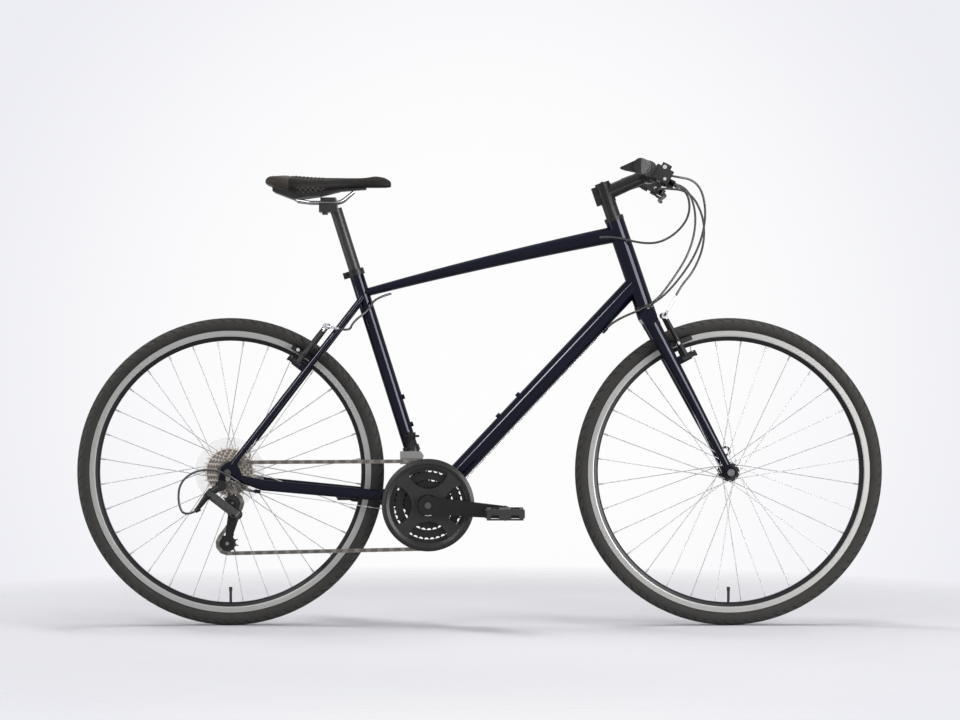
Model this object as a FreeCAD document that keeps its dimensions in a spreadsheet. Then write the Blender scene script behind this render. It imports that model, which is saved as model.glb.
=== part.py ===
import FreeCAD, Part
import math
import os
import re
from types import SimpleNamespace

import Sketcher

# A flat-bar hybrid bike, in millimetres. X points forward, Y to the rider's left, Z up.
# The origin is on the ground, midway between the two axles.

# Driving dimensions, lengths in millimetres and angles in degrees
SIZES = {
    # Layout
    "wheel_base": 1112, "chainstay_length": 448, "bracket_drop": 72, "seat_angle": 72.5, "head_angle": 71.2,
    "fork_offset": 60,
    # Clearances
    "running_clearance": 0.05, "seat_gap": 0.1, "body_gap": 0.4, "cut_overrun": 20,
    # Tyres and rims
    "tyre_radius": 343, "tyre_section": 16, "tyre_wall": 2.6, "tube_gap": 0.6, "tube_wall_thickness": 1.2,
    "rim_radius": 315, "rim_half_width": 11, "rim_flange": 1.7, "rim_channel": 6, "rim_bed": 9,
    "rim_bed_half": 5, "rim_track": 11.5, "rim_slope": 8.5, "rim_slope_half": 8.4, "rim_depth": 23,
    "rim_nose_half": 4.5, "valve_radius": 3, "valve_length": 34, "valve_cap_radius": 3.8,
    "valve_cap_length": 9,
    # Spokes and hubs
    "spoke_radius": 1, "nipple_radius": 1.9, "nipple_length": 11, "spoke_count": 32, "spoke_cross": 3,
    "spoke_rim_half": 3, "flange_thickness": 3, "flange_margin": 3.5, "hub_core_radius": 12,
    "hub_end_radius": 15, "hub_end_length": 9, "hub_cap_length": 3, "front_flange_circle": 18,
    "front_flange_left": 33, "front_flange_right": 33, "rear_flange_circle": 22, "rear_flange_left": 36,
    "rear_flange_right": 19, "axle_radius": 6, "axle_end_radius": 4.8,
    "front_drop_half": 50, "rear_drop_half": 67.5, "drop_thickness": 6, "lock_nut_radius": 9,
    "protector_radius": 77, "protector_thickness": 0.8, "protector_gap": 3.2,
    # Frame tubes
    "shell_radius": 20, "shell_half": 34, "shell_bore": 17, "seat_tube_radius": 16, "seat_tube_length": 545,
    "post_radius": 13.6, "head_tube_radius": 21, "head_tube_bore": 17.5, "head_tube_start": 413,
    "head_tube_length": 199, "top_tube_seat": 492, "top_tube_head": 582, "top_tube_arch": 5,
    "top_tube_rear_width": 30, "top_tube_rear_height": 18, "top_tube_mid_width": 33,
    "top_tube_mid_height": 28, "top_tube_front_width": 38, "top_tube_front_height": 37,
    "down_tube_radius": 20.5, "down_tube_head": 465, "tube_wall": 2, "seatstay_radius": 7,
    "seatstay_top": 484, "seatstay_top_half": 20, "seatstay_end_half": 70, "seatstay_end_x": 10,
    "seatstay_end_z": 18, "chainstay_end_x": 22, "chainstay_end_z": -12, "chainstay_bend_x": 77,
    "chainstay_bend_z": -28, "chainstay_front_z": 10, "chainstay_front_half": 24, "chainstay_bend_half": 60,
    "chainstay_end_half": 69.5, "chainstay_height": 24, "chainstay_width": 17, "chainstay_end_height": 16,
    "chainstay_end_width": 13, "brake_bridge_down": 95, "wheel_bridge_back": 62, "bridge_radius": 5.5,
    # Dropouts and fittings
    "drop_back": 14, "drop_low": 16, "drop_slot": 5.2, "drop_margin": 9, "hanger_x": -14, "hanger_z": -28,
    "boss_radius": 5.5, "boss_bore": 2.5, "boss_height": 5, "boss_sink": 1, "thread_depth": 6,
    "bottle_spacing": 64, "down_boss_start": 250, "seat_boss_start": 181, "stop_along": 552, "stop_half": 9,
    "stop_radius": 4, "stop_length": 14, "stop_lift": 3, "guide_radius": 12, "guide_length": 22,
    "guide_height": 4, "chain_stop_back": 381, "post_half": 40, "post_length": 44, "brake_post_radius": 4,
    "post_base_radius": 8, "post_base_length": 15, "rear_post_down": 208, "front_post_down": 118,
    "cup_radius": 22, "cup_length": 9, "cup_bore": 15.5, "bracket_cup_radius": 19, "bracket_cup_length": 4,
    "bracket_bore": 9, "clamp_radius": 19.5, "clamp_height": 14, "clamp_above": 3, "clamp_bolt_radius": 3,
    "clamp_bolt_length": 26, "clamp_ear": 9, "clamp_ear_length": 16,
    # Quick releases
    "nut_radius": 8, "nut_length": 10, "cam_gap": 13, "cam_radius": 6, "cam_length": 9.6, "cap_length": 3.2,
    "lever_stem_radius": 3.6, "lever_stem_length": 34, "lever_loop_radius": 9, "lever_loop_wire": 2.6,
    # Fork
    "crown_along": 384, "crown_radius": 18, "crown_half": 40, "crown_shoulder": 1.6, "socket_length": 24,
    "socket_wall": 0.8, "crown_neck_radius": 22, "blade_top_radius": 16.5, "blade_end_radius": 8.5,
    "blade_end_half": 54, "blade_end_gap": 18, "tip_radius": 13, "front_post_shift": 8,
    # Steerer, stem and handlebar
    "steerer_radius": 14.3, "spacer_radius": 16.5, "spacer_stack": 33, "spacer_count": 3, "cap_radius": 17,
    "cap_height": 5, "stem_clamp_height": 42, "stem_clamp_radius": 18, "stem_neck_radius": 16,
    "stem_length": 106, "stem_angle": 24, "bar_clamp_radius": 20, "bar_clamp_length": 44,
    "stem_bolt_inset": 8, "stem_bolt_start": 2, "stem_bolt_length": 17, "stem_ear_width": 18,
    "stem_ear_depth": 9, "stem_pinch_half": 12, "stem_pinch_length": 26, "bar_radius": 11.1,
    "bar_middle_radius": 12.7, "bar_flat_half": 50, "bar_bend_half": 120, "bar_half": 306, "bar_rise": 2,
    "bar_end_rise": -2, "bar_sweep_start": 0, "bar_sweep": 36, "bar_bend": 80,
    # Grips
    "grip_length": 130, "grip_radius": 16.5, "grip_collar": 9, "grip_collar_radius": 17.5, "grip_cap": 4,
    "wing_width": 72, "wing_reach": 42, "wing_edge": 3, "wing_droop": 6,
    # Control pods, brake levers and shift levers
    "pod_gap": 3, "pod_width": 36, "pod_tilt": 28, "pod_ahead": 29, "pod_up": 1.5, "pod_length": 40,
    "pod_height": 32, "pod_clamp_radius": 14.5, "pod_brow_radius": 8, "dial_radius": 11, "perch_reach": 7,
    "perch_drop": 6, "lever_hub_radius": 6.5, "lever_hub_height": 9, "ear_thickness": 3,
    "pivot_pin_radius": 2.5, "lever_bow": 12, "lever_bend_out": 26, "lever_reach": 104, "lever_droop": 10,
    "lever_radius": 4.2, "trigger_hub_radius": 7, "trigger_hub_height": 5, "thumb_back": 12,
    "thumb_reach": 34, "release_ahead": 10, "release_reach": 16,
    # Rim brakes
    "arm_barrel_radius": 8, "arm_barrel_length": 20, "arm_length": 105, "arm_top_half": 31,
    "arm_foot_radius": 6.8, "arm_top_radius": 4.8, "arm_bolt_radius": 5.5, "arm_bolt_length": 5,
    "pad_gap": 2.4, "pad_width": 10, "pad_length": 64, "pad_height": 10, "stud_radius": 3.2,
    "stud_reach": 9, "lead_radius": 2.6, "lead_start": 22, "lead_out": 52, "lead_bend": 20,
    "front_lead_x": 24, "front_lead_z": 42, "rear_lead_x": 30, "rear_lead_z": -6,
    # Chain drive
    "chain_line": 56, "chain_pitch": 12.7, "ring_outer_teeth": 48, "ring_middle_teeth": 38,
    "ring_inner_teeth": 28, "ring_step": 7.3, "ring_thickness": 1.9, "ring_depth": 21, "tooth_height": 2.4,
    "roller_radius": 3.87, "roller_half": 1.6, "link_plate": 0.9, "link_height": 8.2, "pin_radius": 1.8,
    "link_play": 0.25, "cog_step": 5, "cog_thickness": 1.8, "freehub_radius": 16, "cog_spacer_wall": 0.8,
    "lock_ring_length": 2.5, "guard_out": 5.4, "guard_thickness": 2.6, "guard_radius": 102.5,
    "guard_bore": 24, "window_outer": 84, "window_inner": 36, "window_web": 14, "crank_drop": 5,
    "guide_x": 9, "guide_z": -68, "tension_x": -2, "tension_z": -157,
    # Cranks and pedals
    "crank_length": 170, "arm_in": 66, "arm_thickness": 13, "arm_flare": 9, "arm_root_half": 19.5,
    "arm_end_half": 14, "arm_boss_radius": 22, "arm_eye_radius": 14.5, "spider_core_radius": 21,
    "spider_thickness": 4.6,
    "spider_reach": 88, "spider_width": 22, "spider_post_circle": 47, "spider_post_radius": 4.5,
    "crank_bolt_radius": 8, "crank_bolt_length": 3, "pedal_axle_radius": 4.6, "pedal_gap": 5,
    "pedal_width": 92, "pedal_length": 80, "pedal_height": 24, "pedal_barrel_radius": 12.5,
    "pedal_pocket": 19, "pedal_cap": 6, "pedal_slot": 17, "pedal_slot_height": 8, "pedal_slot_drop": 4.5,
    "reflector_depth": 3,
    # Front derailleur
    "band_along": 128, "band_height": 14, "band_wall": 3, "swing_ahead": 2, "swing_out": 30,
    "swing_up": 152, "swing_body": 16, "mount_arm_height": 46, "swing_hub_radius": 6, "cage_top": 119,
    "cage_back": 36, "cage_nose": 6, "cage_outer": 5, "cage_inner": 4.8, "cage_outer_low": 104.5,
    "cage_inner_low": 90, "cage_length": 52, "cage_plate": 1.2,
    # Rear derailleur
    "link_out": 13, "knuckle_x": -40, "knuckle_z": -46, "cage_pivot_x": 20, "cage_pivot_z": -92,
    "swing_slant": 38, "knuckle_depth": 16, "knuckle_radius": 12, "knuckle_arm_radius": 8,
    "link_hub_radius": 8, "link_hub_length": 14, "link_width": 16, "barrel_back": 26, "barrel_down": 34,
    "carrier_radius": 12, "carrier_depth": 10, "cage_plate_out": 5, "pulley_plate": 1.6,
    "guide_end_radius": 8, "tension_end_radius": 13, "adjuster_radius": 4.8, "adjuster_length": 12,
    "barrel_lead": 12,
    # Seatpost and saddle
    "post_top": 690, "post_length_below": 345, "rail_above": 14, "rail_radius": 3.5, "rail_half": 22,
    "rail_bend": 30, "cradle_length": 40, "cradle_margin": 12, "cradle_height": 20, "keeper_height": 9,
    "head_back": 16, "saddle_behind": 155, "saddle_above": 74, "saddle_length": 279,
    "saddle_half_width": 76, "saddle_height": 40, "saddle_shell": 3.4, "shell_gap": 0.3, "rail_back_x": 68,
    "rail_back_half": 34, "rail_back_drop": 55.5, "rail_nose_x": 195, "rail_nose_half": 9,
    "rail_nose_drop": 36.1,
    # Cables
    "housing_radius": 2.5, "cable_radius": 0.8, "housing_bend": 90, "exit_run": 24, "brake_exit_x": 40,
    "shift_exit_x": 40, "shift_exit_z": 8, "top_stop_back": 46, "guide_half": 6, "under_exit_along": 66,
    "under_exit_drop": 15, "loop_out": 20,
}

doc = FreeCAD.newDocument("hybrid_bike")
sheet = doc.addObject("Spreadsheet::Sheet", "Sizes")
os.makedirs("parts", exist_ok=True)

nodes = []
V = FreeCAD.Vector
X_AXIS = V(1, 0, 0)
Y_AXIS = V(0, 1, 0)
Z_AXIS = V(0, 0, 1)
SIDES = {"left": 1, "right": -1}


def fill_sheet():
    for row, (name, value) in enumerate(SIZES.items(), start=1):
        sheet.set(f"A{row}", name)
        sheet.set(f"B{row}", str(value))
        sheet.setAlias(f"B{row}", name)
    doc.recompute()
    return SimpleNamespace(**{name: float(sheet.get(name)) for name in SIZES})


def bound(expression):
    """Write an expression of plain alias words as one that names the sheet."""
    return re.sub(r"[a-z]\w*", r"Sizes.\g<0>", expression)


def facing(axis, start=Z_AXIS):
    return FreeCAD.Rotation(start, axis)


def axes_rotation(lateral, along):
    """Turn local Z along a direction, with local X as near to lateral as it can be."""
    return FreeCAD.Rotation(lateral, V(), along, "ZXY")


def keep(name, members):
    """Make one named sub-part from document objects: one alone, or several as a group of solids."""
    if len(members) == 1:
        node = members[0]
    else:
        node = doc.addObject("Part::Compound", name)
        node.Links = members
    node.Label = name
    nodes.append(node)
    return node


def rod(name, start, end, radius):
    """A round bar between two points, its radius an expression."""
    bar = doc.addObject("Part::Cylinder", name)
    bar.setExpression("Radius", bound(radius))
    bar.Height = (end - start).Length
    bar.Placement = FreeCAD.Placement(start, facing(end - start))
    return bar


def disc(name, centre, axis, radius, length):
    """A round bar centred on a point, its radius and length expressions."""
    bar = doc.addObject("Part::Cylinder", name)
    bar.setExpression("Radius", bound(radius))
    bar.setExpression("Height", bound(length))
    doc.recompute([bar])
    bar.Placement = FreeCAD.Placement(centre - axis * (bar.Height.Value / 2), facing(axis))
    return bar


def cone(name, start, end, start_radius, end_radius):
    bar = doc.addObject("Part::Cone", name)
    bar.setExpression("Radius1", bound(start_radius))
    bar.setExpression("Radius2", bound(end_radius))
    bar.Height = (end - start).Length
    bar.Placement = FreeCAD.Placement(start, facing(end - start))
    return bar


def block(name, centre, rotation, length, width, height):
    """A box centred on a point, its three sizes expressions along local X, Y and Z."""
    box = doc.addObject("Part::Box", name)
    for prop, expression in (("Length", length), ("Width", width), ("Height", height)):
        box.setExpression(prop, bound(expression))
    doc.recompute([box])
    half = V(box.Length.Value, box.Width.Value, box.Height.Value) * 0.5
    box.Placement = FreeCAD.Placement(centre - rotation.multVec(half), rotation)
    return box


def cut(name, base, *tools):
    for count, tool in enumerate(tools):
        result = doc.addObject("Part::Cut", f"{name}_cut{count}")
        result.Base = base
        result.Tool = tool
        base = result
    return base


def fuse(name, *shapes):
    result = doc.addObject("Part::MultiFuse", name)
    result.Shapes = shapes
    result.Refine = True
    return result


def pipe(name, start, end, radius, bore):
    """A straight tube; its bore runs past both ends."""
    over = (end - start).normalize() * size.cut_overrun
    hole = rod(f"{name}_bore", start - over, end + over, bore)
    return cut(name, rod(f"{name}_outer", start, end, radius), hole)


def loft(name, sections):
    """A tube through ellipses: (centre, direction, width, height) with width not under height."""
    rings = []
    for count, (centre, along, width, height) in enumerate(sections):
        ring = doc.addObject("Part::Ellipse", f"{name}_ring{count}")
        ring.setExpression("MajorRadius", bound(f"({width}) / 2"))
        ring.setExpression("MinorRadius", bound(f"({height}) / 2"))
        ring.Placement = FreeCAD.Placement(centre, axes_rotation(Y_AXIS, along))
        rings.append(ring)
    tube = doc.addObject("Part::Loft", name)
    tube.Sections = rings
    tube.Solid = True
    return tube


def outline_sketch(body, name, points):
    """A closed outline of straight lines whose corners are expressions (x, y)."""
    sketch = body.newObject("Sketcher::SketchObject", name)
    plane = [item for item in body.Origin.OriginFeatures if item.Role == "XY_Plane"][0]
    sketch.AttachmentSupport = (plane, [""])
    sketch.MapMode = "FlatFace"
    count = len(points)
    seeds = [V(math.cos(2 * math.pi * k / count), math.sin(2 * math.pi * k / count),
               0) for k in range(count)]
    for k in range(count):
        sketch.addGeometry(Part.LineSegment(seeds[k], seeds[(k + 1) % count]), False)
    for k in range(count):
        sketch.addConstraint(Sketcher.Constraint("Coincident", k, 2, (k + 1) % count, 1))
    for k, corner in enumerate(points):
        for kind, expression in zip(("DistanceX", "DistanceY"), corner):
            index = sketch.addConstraint(Sketcher.Constraint(kind, -1, 1, k, 1, 1.0))
            sketch.setExpression(f"Constraints[{index}]", bound(expression))
    return sketch


def turned(name, centre, axis, outline):
    """A turned piece: an outline of (along, radius) expressions about an axis through a point."""
    body = doc.addObject("PartDesign::Body", name)
    sketch = outline_sketch(body, f"{name}_outline", outline)
    turn = body.newObject("PartDesign::Revolution", f"{name}_turn")
    turn.Profile = sketch
    turn.ReferenceAxis = (sketch, ["H_Axis"])
    turn.Angle = 360
    body.Placement = FreeCAD.Placement(centre, facing(axis, X_AXIS))
    return body


def plate(name, centre, x_dir, normal, thickness, outline):
    """A flat piece: an outline of (x, y) expressions padded both ways from its middle plane."""
    body = doc.addObject("PartDesign::Body", name)
    sketch = outline_sketch(body, f"{name}_outline", outline)
    pad = body.newObject("PartDesign::Pad", f"{name}_pad")
    pad.Profile = sketch
    pad.Midplane = True
    pad.setExpression("Length", bound(thickness))
    body.Placement = FreeCAD.Placement(centre, FreeCAD.Rotation(x_dir, V(), normal, "ZXY"))
    return body


def solid(name, shape):
    """A piece whose shape is swept or repeated by a formula."""
    feature = doc.addObject("Part::Feature", name)
    feature.Shape = shape
    return feature


def rounded_path(points, bend):
    """Straight runs joined by tangent arcs; bend is the largest arc radius."""
    edges = []
    start = points[0]
    for before, corner, after in zip(points, points[1:], points[2:]):
        back = (before - corner).normalize()
        ahead = (after - corner).normalize()
        half_turn = (math.pi - back.getAngle(ahead)) / 2
        room = min((before - corner).Length, (after - corner).Length) * RUN_SHARE
        reach = min(bend * math.tan(half_turn), room)
        radius = reach / math.tan(half_turn)
        middle = (back + ahead).normalize()
        apex = corner + middle * (radius / math.cos(half_turn) - radius)
        edges.append(Part.LineSegment(start, corner + back * reach).toShape())
        edges.append(Part.Arc(corner + back * reach, apex, corner + ahead * reach).toShape())
        start = corner + ahead * reach
    edges.append(Part.LineSegment(start, points[-1]).toShape())
    return Part.Wire(edges)


def round_sweep(points, radius, bend):
    """A round bar or cord along straight runs and arcs, its volume compared with its length."""
    path = rounded_path(points, bend)
    ring = Part.Wire(Part.makeCircle(radius, points[0], points[1] - points[0]))
    shape = path.makePipeShell([ring], True, False)
    expected = math.pi * radius ** 2 * path.Length
    if abs(shape.Volume / expected - 1) > VOLUME_SHARE:
        raise ValueError("a swept bar differs from its section times its length")
    return shape


# Shares used by the sweeps: how much of a run an arc may take, and the volume error allowed
RUN_SHARE = 0.45
VOLUME_SHARE = 0.02

size = fill_sheet()

# Main points and directions
rear_axle = V(-size.wheel_base / 2, 0, size.tyre_radius)
front_axle = V(size.wheel_base / 2, 0, size.tyre_radius)
bracket = rear_axle + V(math.sqrt(size.chainstay_length ** 2 - size.bracket_drop ** 2), 0,
                        -size.bracket_drop)
seat_up = V(-math.cos(math.radians(size.seat_angle)), 0, math.sin(math.radians(size.seat_angle)))
head_up = V(-math.cos(math.radians(size.head_angle)), 0, math.sin(math.radians(size.head_angle)))
head_ahead = Y_AXIS.cross(head_up)
steering_foot = front_axle - head_ahead * size.fork_offset


def on_seat(distance):
    return bracket + seat_up * distance


def on_head(distance):
    return steering_foot + head_up * distance


def boss_feet(place, start, normal, radius):
    """The two points on a tube's surface where its bottle bosses stand."""
    return [place(start + number * size.bottle_spacing) + normal * radius for number in range(2)]


def threads(name, feet, normal):
    """Holes for the bottle bolts, each through its boss and the tube's wall."""
    return [rod(f"{name}_thread{number}", foot - normal * size.thread_depth,
                foot + normal * (size.boss_height + size.cut_overrun), "boss_bore")
            for number, foot in enumerate(feet)]


# Frame tubes
over = size.cut_overrun
seat_ahead = Y_AXIS.cross(seat_up)
shell_solid = disc("shell_outer", bracket, Y_AXIS, "shell_radius", "shell_half * 2")
shell_hole = disc("shell_hole", bracket, Y_AXIS, "shell_bore", "shell_half * 2 + cut_overrun")
keep("bottom_bracket_shell", [cut("shell", shell_solid, shell_hole)])

seat_solid = rod("seat_tube_outer", bracket, on_seat(size.seat_tube_length), "seat_tube_radius")
seat_hole = rod("seat_tube_bore", bracket, on_seat(size.seat_tube_length + over),
                "post_radius + running_clearance")
seat_feet = boss_feet(on_seat, size.seat_boss_start, seat_ahead, size.seat_tube_radius)
seat_threads = threads("seat", seat_feet, seat_ahead)
keep("seat_tube", [cut("seat_tube", seat_solid, shell_solid, seat_hole, *seat_threads)])

head_start = on_head(size.head_tube_start)
head_end = on_head(size.head_tube_start + size.head_tube_length)
head_solid = rod("head_tube_outer", head_start, head_end, "head_tube_radius")
head_hole = rod("head_tube_hole", head_start - head_up * over, head_end + head_up * over, "head_tube_bore")
keep("head_tube", [cut("head_tube", head_solid, head_hole)])

top_rear = on_seat(size.top_tube_seat)
top_front = on_head(size.top_tube_head)
top_middle = (top_rear + top_front) * 0.5 + Z_AXIS * size.top_tube_arch
top_rings = [(top_rear, top_middle - top_rear, "top_tube_rear_width", "top_tube_rear_height"),
             (top_middle, top_front - top_rear, "top_tube_mid_width", "top_tube_mid_height"),
             (top_front, top_front - top_middle, "top_tube_front_width", "top_tube_front_height")]
top_tube_loft = loft("top_tube_loft", top_rings)
top_bore = loft("top_tube_bore", [(centre, along, f"{width} - tube_wall * 2", f"{height} - tube_wall * 2")
                                  for centre, along, width, height in top_rings])
top_tube = keep("top_tube", [cut("top_tube", top_tube_loft, seat_solid, head_solid, top_bore)])

down_end = on_head(size.down_tube_head)
down_along = (down_end - bracket).normalize()
down_below = Y_AXIS.cross(down_along).normalize()
down_above = down_below * -1


def on_down(distance):
    return bracket + down_along * distance


down_solid = rod("down_tube_outer", bracket, down_end, "down_tube_radius")
down_bore = rod("down_tube_bore", bracket, down_end, "down_tube_radius - tube_wall")
down_feet = boss_feet(on_down, size.down_boss_start, down_above, size.down_tube_radius)
down_threads = threads("down", down_feet, down_above)
keep("down_tube", [cut("down_tube", down_solid, shell_solid, seat_solid, head_solid, top_tube, down_bore,
                       *down_threads)])

# Stays, each a pair with its bridge
stay_top = on_seat(size.seatstay_top)
stay_end = rear_axle + V(size.seatstay_end_x, 0, size.seatstay_end_z)
stay_up = (stay_top - stay_end).normalize()
stay_back = stay_up.cross(Y_AXIS).normalize()


def stay_line(side, down):
    """A point on a seatstay's axis, a distance down from its top."""
    top = stay_top + Y_AXIS * side * size.seatstay_top_half
    end = stay_end + Y_AXIS * side * size.seatstay_end_half
    return top + (end - top).normalize() * down


def chainstay_points(side):
    front = bracket + V(0, side * size.chainstay_front_half, size.chainstay_front_z)
    bend = rear_axle + V(size.chainstay_bend_x, side * size.chainstay_bend_half, size.chainstay_bend_z)
    end = rear_axle + V(size.chainstay_end_x, side * size.chainstay_end_half, size.chainstay_end_z)
    return front, bend, end


stays = []
stay_solids = {}
for name, side in SIDES.items():
    end = stay_end + Y_AXIS * side * size.seatstay_end_half
    upper = rod(f"seatstay_{name}", stay_line(side, 0), end, "seatstay_radius")
    front, bend, rear = chainstay_points(side)
    lower = loft(f"chainstay_{name}", [
        (front, bend - front, "chainstay_height", "chainstay_width"),
        (bend, rear - front, "chainstay_height", "chainstay_width"),
        (rear, rear - bend, "chainstay_end_height", "chainstay_end_width")])
    lower.Ruled = True
    for ring in lower.Sections:
        ring.Placement = FreeCAD.Placement(ring.Placement.Base,
                                           axes_rotation(Z_AXIS, ring.Placement.Rotation.multVec(Z_AXIS)))
    stay_solids[name] = (upper, lower)
    stays.append(cut(f"seatstay_{name}", upper, seat_solid, top_tube))
    stays.append(cut(f"chainstay_{name}", lower, shell_solid, seat_solid))

brake_bridge = rod("brake_bridge", stay_line(1, size.brake_bridge_down),
                   stay_line(-1, size.brake_bridge_down),
                   "bridge_radius")
bridge_back = size.wheel_bridge_back / size.chainstay_length
wheel_bridge_ends = []
for side in SIDES.values():
    front, bend, rear = chainstay_points(side)
    wheel_bridge_ends.append(front + (bend - front) * bridge_back)
wheel_bridge = rod("wheel_bridge", wheel_bridge_ends[0], wheel_bridge_ends[1], "bridge_radius")
stays.append(cut("brake_bridge", brake_bridge, stay_solids["left"][0], stay_solids["right"][0]))
stays.append(cut("wheel_bridge", wheel_bridge, stay_solids["left"][1], stay_solids["right"][1]))
keep("rear_stays", stays)

# Dropouts, the right one with the derailleur hanger
drops = []
for name, side in SIDES.items():
    rear_edge = [("-drop_back", "-drop_low")]
    if name == "right":
        rear_edge = [("hanger_x + drop_margin", "hanger_z - drop_margin"),
                     ("hanger_x - drop_margin", "hanger_z - drop_margin"),
                     ("hanger_x - drop_margin", "hanger_z + drop_slot")]
    outline = rear_edge + [
        ("-drop_back", "drop_slot + drop_margin"),
        ("seatstay_end_x - drop_margin", "seatstay_end_z + drop_slot"),
        ("seatstay_end_x + drop_margin", "seatstay_end_z + drop_slot"),
        ("chainstay_end_x + drop_margin", "chainstay_end_z + drop_margin"),
        ("chainstay_end_x + drop_margin", "chainstay_end_z - drop_margin"),
        ("drop_slot", "-drop_low"), ("drop_slot", "drop_slot"), ("-drop_slot", "drop_slot"),
        ("-drop_slot", "-drop_low")]
    middle = rear_axle + Y_AXIS * side * (size.rear_drop_half + size.drop_thickness / 2)
    drop = plate(f"dropout_{name}", middle, X_AXIS, Y_AXIS * -1, "drop_thickness", outline)
    drops.append(cut(f"dropout_{name}", drop, *stay_solids[name]))
keep("rear_dropouts", drops)


def boss(name, foot, normal, tube, thread):
    """A small round fitting on a tube: it starts a little inside the wall and is cut back to it."""
    post = rod(name, foot - normal * size.boss_sink, foot + normal * size.boss_height, "boss_radius")
    return cut(name, post, tube, thread)


def brake_post(name, foot, normal, base):
    """A brake pivot: a wide base welded to its stay or blade, and a slim post for the arm."""
    wide = rod(f"{name}_base", foot, foot + normal * size.post_base_length, "post_base_radius")
    slim = rod(f"{name}_pin", foot, foot + normal * size.post_length, "brake_post_radius")
    return cut(name, fuse(f"{name}_fuse", wide, slim), base)


fittings = []
for number in range(2):
    fittings.append(boss(f"down_boss{number}", down_feet[number], down_above, down_solid,
                         down_threads[number]))
    fittings.append(boss(f"seat_boss{number}", seat_feet[number], seat_ahead, seat_solid,
                         seat_threads[number]))

# Cable stops under the down tube, the guide under the bottom bracket and the stop on the right chainstay
stop_drop = math.sqrt(size.down_tube_radius ** 2 - size.stop_half ** 2) + size.stop_lift


def stop_place(side, along):
    return bracket + down_along * along + Y_AXIS * side * size.stop_half + down_below * stop_drop


for name, side in SIDES.items():
    barrel = disc(f"stop_{name}", stop_place(side, size.stop_along), down_along, "stop_radius",
                  "stop_length")
    fittings.append(cut(f"stop_{name}", barrel, down_solid))
guide_foot = bracket - Z_AXIS * (size.shell_radius + size.guide_height - size.guide_radius)
guide = disc("cable_guide", guide_foot, Y_AXIS, "guide_radius", "guide_length")
fittings.append(cut("cable_guide", guide, shell_solid))
front, bend, rear = chainstay_points(-1)
chain_stop_at = front + (bend - front).normalize() * size.chain_stop_back
chain_stop_at = chain_stop_at - Z_AXIS * (size.chainstay_height / 2 + size.stop_lift)
stay_run = (bend - front).normalize()
chain_stop = disc("chain_stop", chain_stop_at, stay_run, "stop_radius", "stop_length")
fittings.append(cut("chain_stop", chain_stop, stay_solids["right"][1]))

rear_posts = {}
for name, side in SIDES.items():
    foot = stay_line(side, size.rear_post_down)
    foot = V(foot.x, side * size.post_half, foot.z)
    rear_posts[name] = foot
    fittings.append(brake_post(f"rear_post_{name}", foot, stay_back, stay_solids[name][0]))
keep("frame_bosses", fittings)

# Bearing cups of the headset and of the bottom bracket
lower_cup = pipe("lower_cup", head_start - head_up * size.cup_length, head_start, "cup_radius", "cup_bore")
upper_cup = pipe("upper_cup", head_end, head_end + head_up * size.cup_length, "cup_radius", "cup_bore")
cups = [lower_cup, upper_cup]
for name, side in SIDES.items():
    face = bracket + Y_AXIS * side * size.shell_half
    flange = rod(f"bracket_flange_{name}", face, face + Y_AXIS * side * size.bracket_cup_length,
                 "bracket_cup_radius")
    sleeve = rod(f"bracket_sleeve_{name}", face, face - Y_AXIS * side * size.guide_length,
                 "shell_bore - seat_gap")
    hole = rod(f"bracket_hole_{name}", face - Y_AXIS * side * size.shell_half, face + Y_AXIS * side * over,
               "bracket_bore + running_clearance")
    cups.append(cut(f"bracket_cup_{name}", fuse(f"bracket_cup_fuse_{name}", flange, sleeve), hole))
keep("bearing_cups", cups)

# Seat clamp: a split collar over the end of the seat tube, with a pinch bolt behind it
clamp_top = on_seat(size.seat_tube_length + size.clamp_above)
clamp_foot = clamp_top - seat_up * size.clamp_height
clamp_mid = (clamp_top + clamp_foot) * 0.5
ear_at = clamp_mid - seat_ahead * (size.clamp_radius + size.clamp_ear / 2)
collar = rod("clamp_collar", clamp_foot, clamp_top, "clamp_radius")
ears = block("clamp_ears", ear_at + seat_ahead * size.clamp_ear / 2, axes_rotation(Y_AXIS, seat_up),
             "clamp_ear_length", "clamp_ear * 2", "clamp_height")
clamp_slot = block("clamp_slot", ear_at, axes_rotation(Y_AXIS, seat_up), "tube_wall", "clamp_ear * 3",
                   "clamp_height * 2")
clamp_bore = rod("clamp_bore", clamp_foot - seat_up * over, clamp_top + seat_up * over,
                 "seat_tube_radius + seat_gap")
bolt_hole = disc("clamp_bolt_hole", ear_at, Y_AXIS, "clamp_bolt_radius + seat_gap", "clamp_bolt_length * 2")
collar_body = cut("clamp_body", fuse("clamp_fuse", collar, ears), clamp_bore, clamp_slot, bolt_hole)
clamp_bolt = disc("clamp_bolt", ear_at, Y_AXIS, "clamp_bolt_radius", "clamp_bolt_length")
keep("seat_clamp", [collar_body, clamp_bolt])


# Wheels
def ring_torus(name, centre, ring_radius, section):
    ring = doc.addObject("Part::Torus", name)
    ring.setExpression("Radius1", bound(ring_radius))
    ring.setExpression("Radius2", bound(section))
    ring.Placement = FreeCAD.Placement(centre, facing(Y_AXIS))
    return ring


def polar(centre, radius, angle, y):
    return centre + V(radius * math.sin(angle), y, radius * math.cos(angle))


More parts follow.
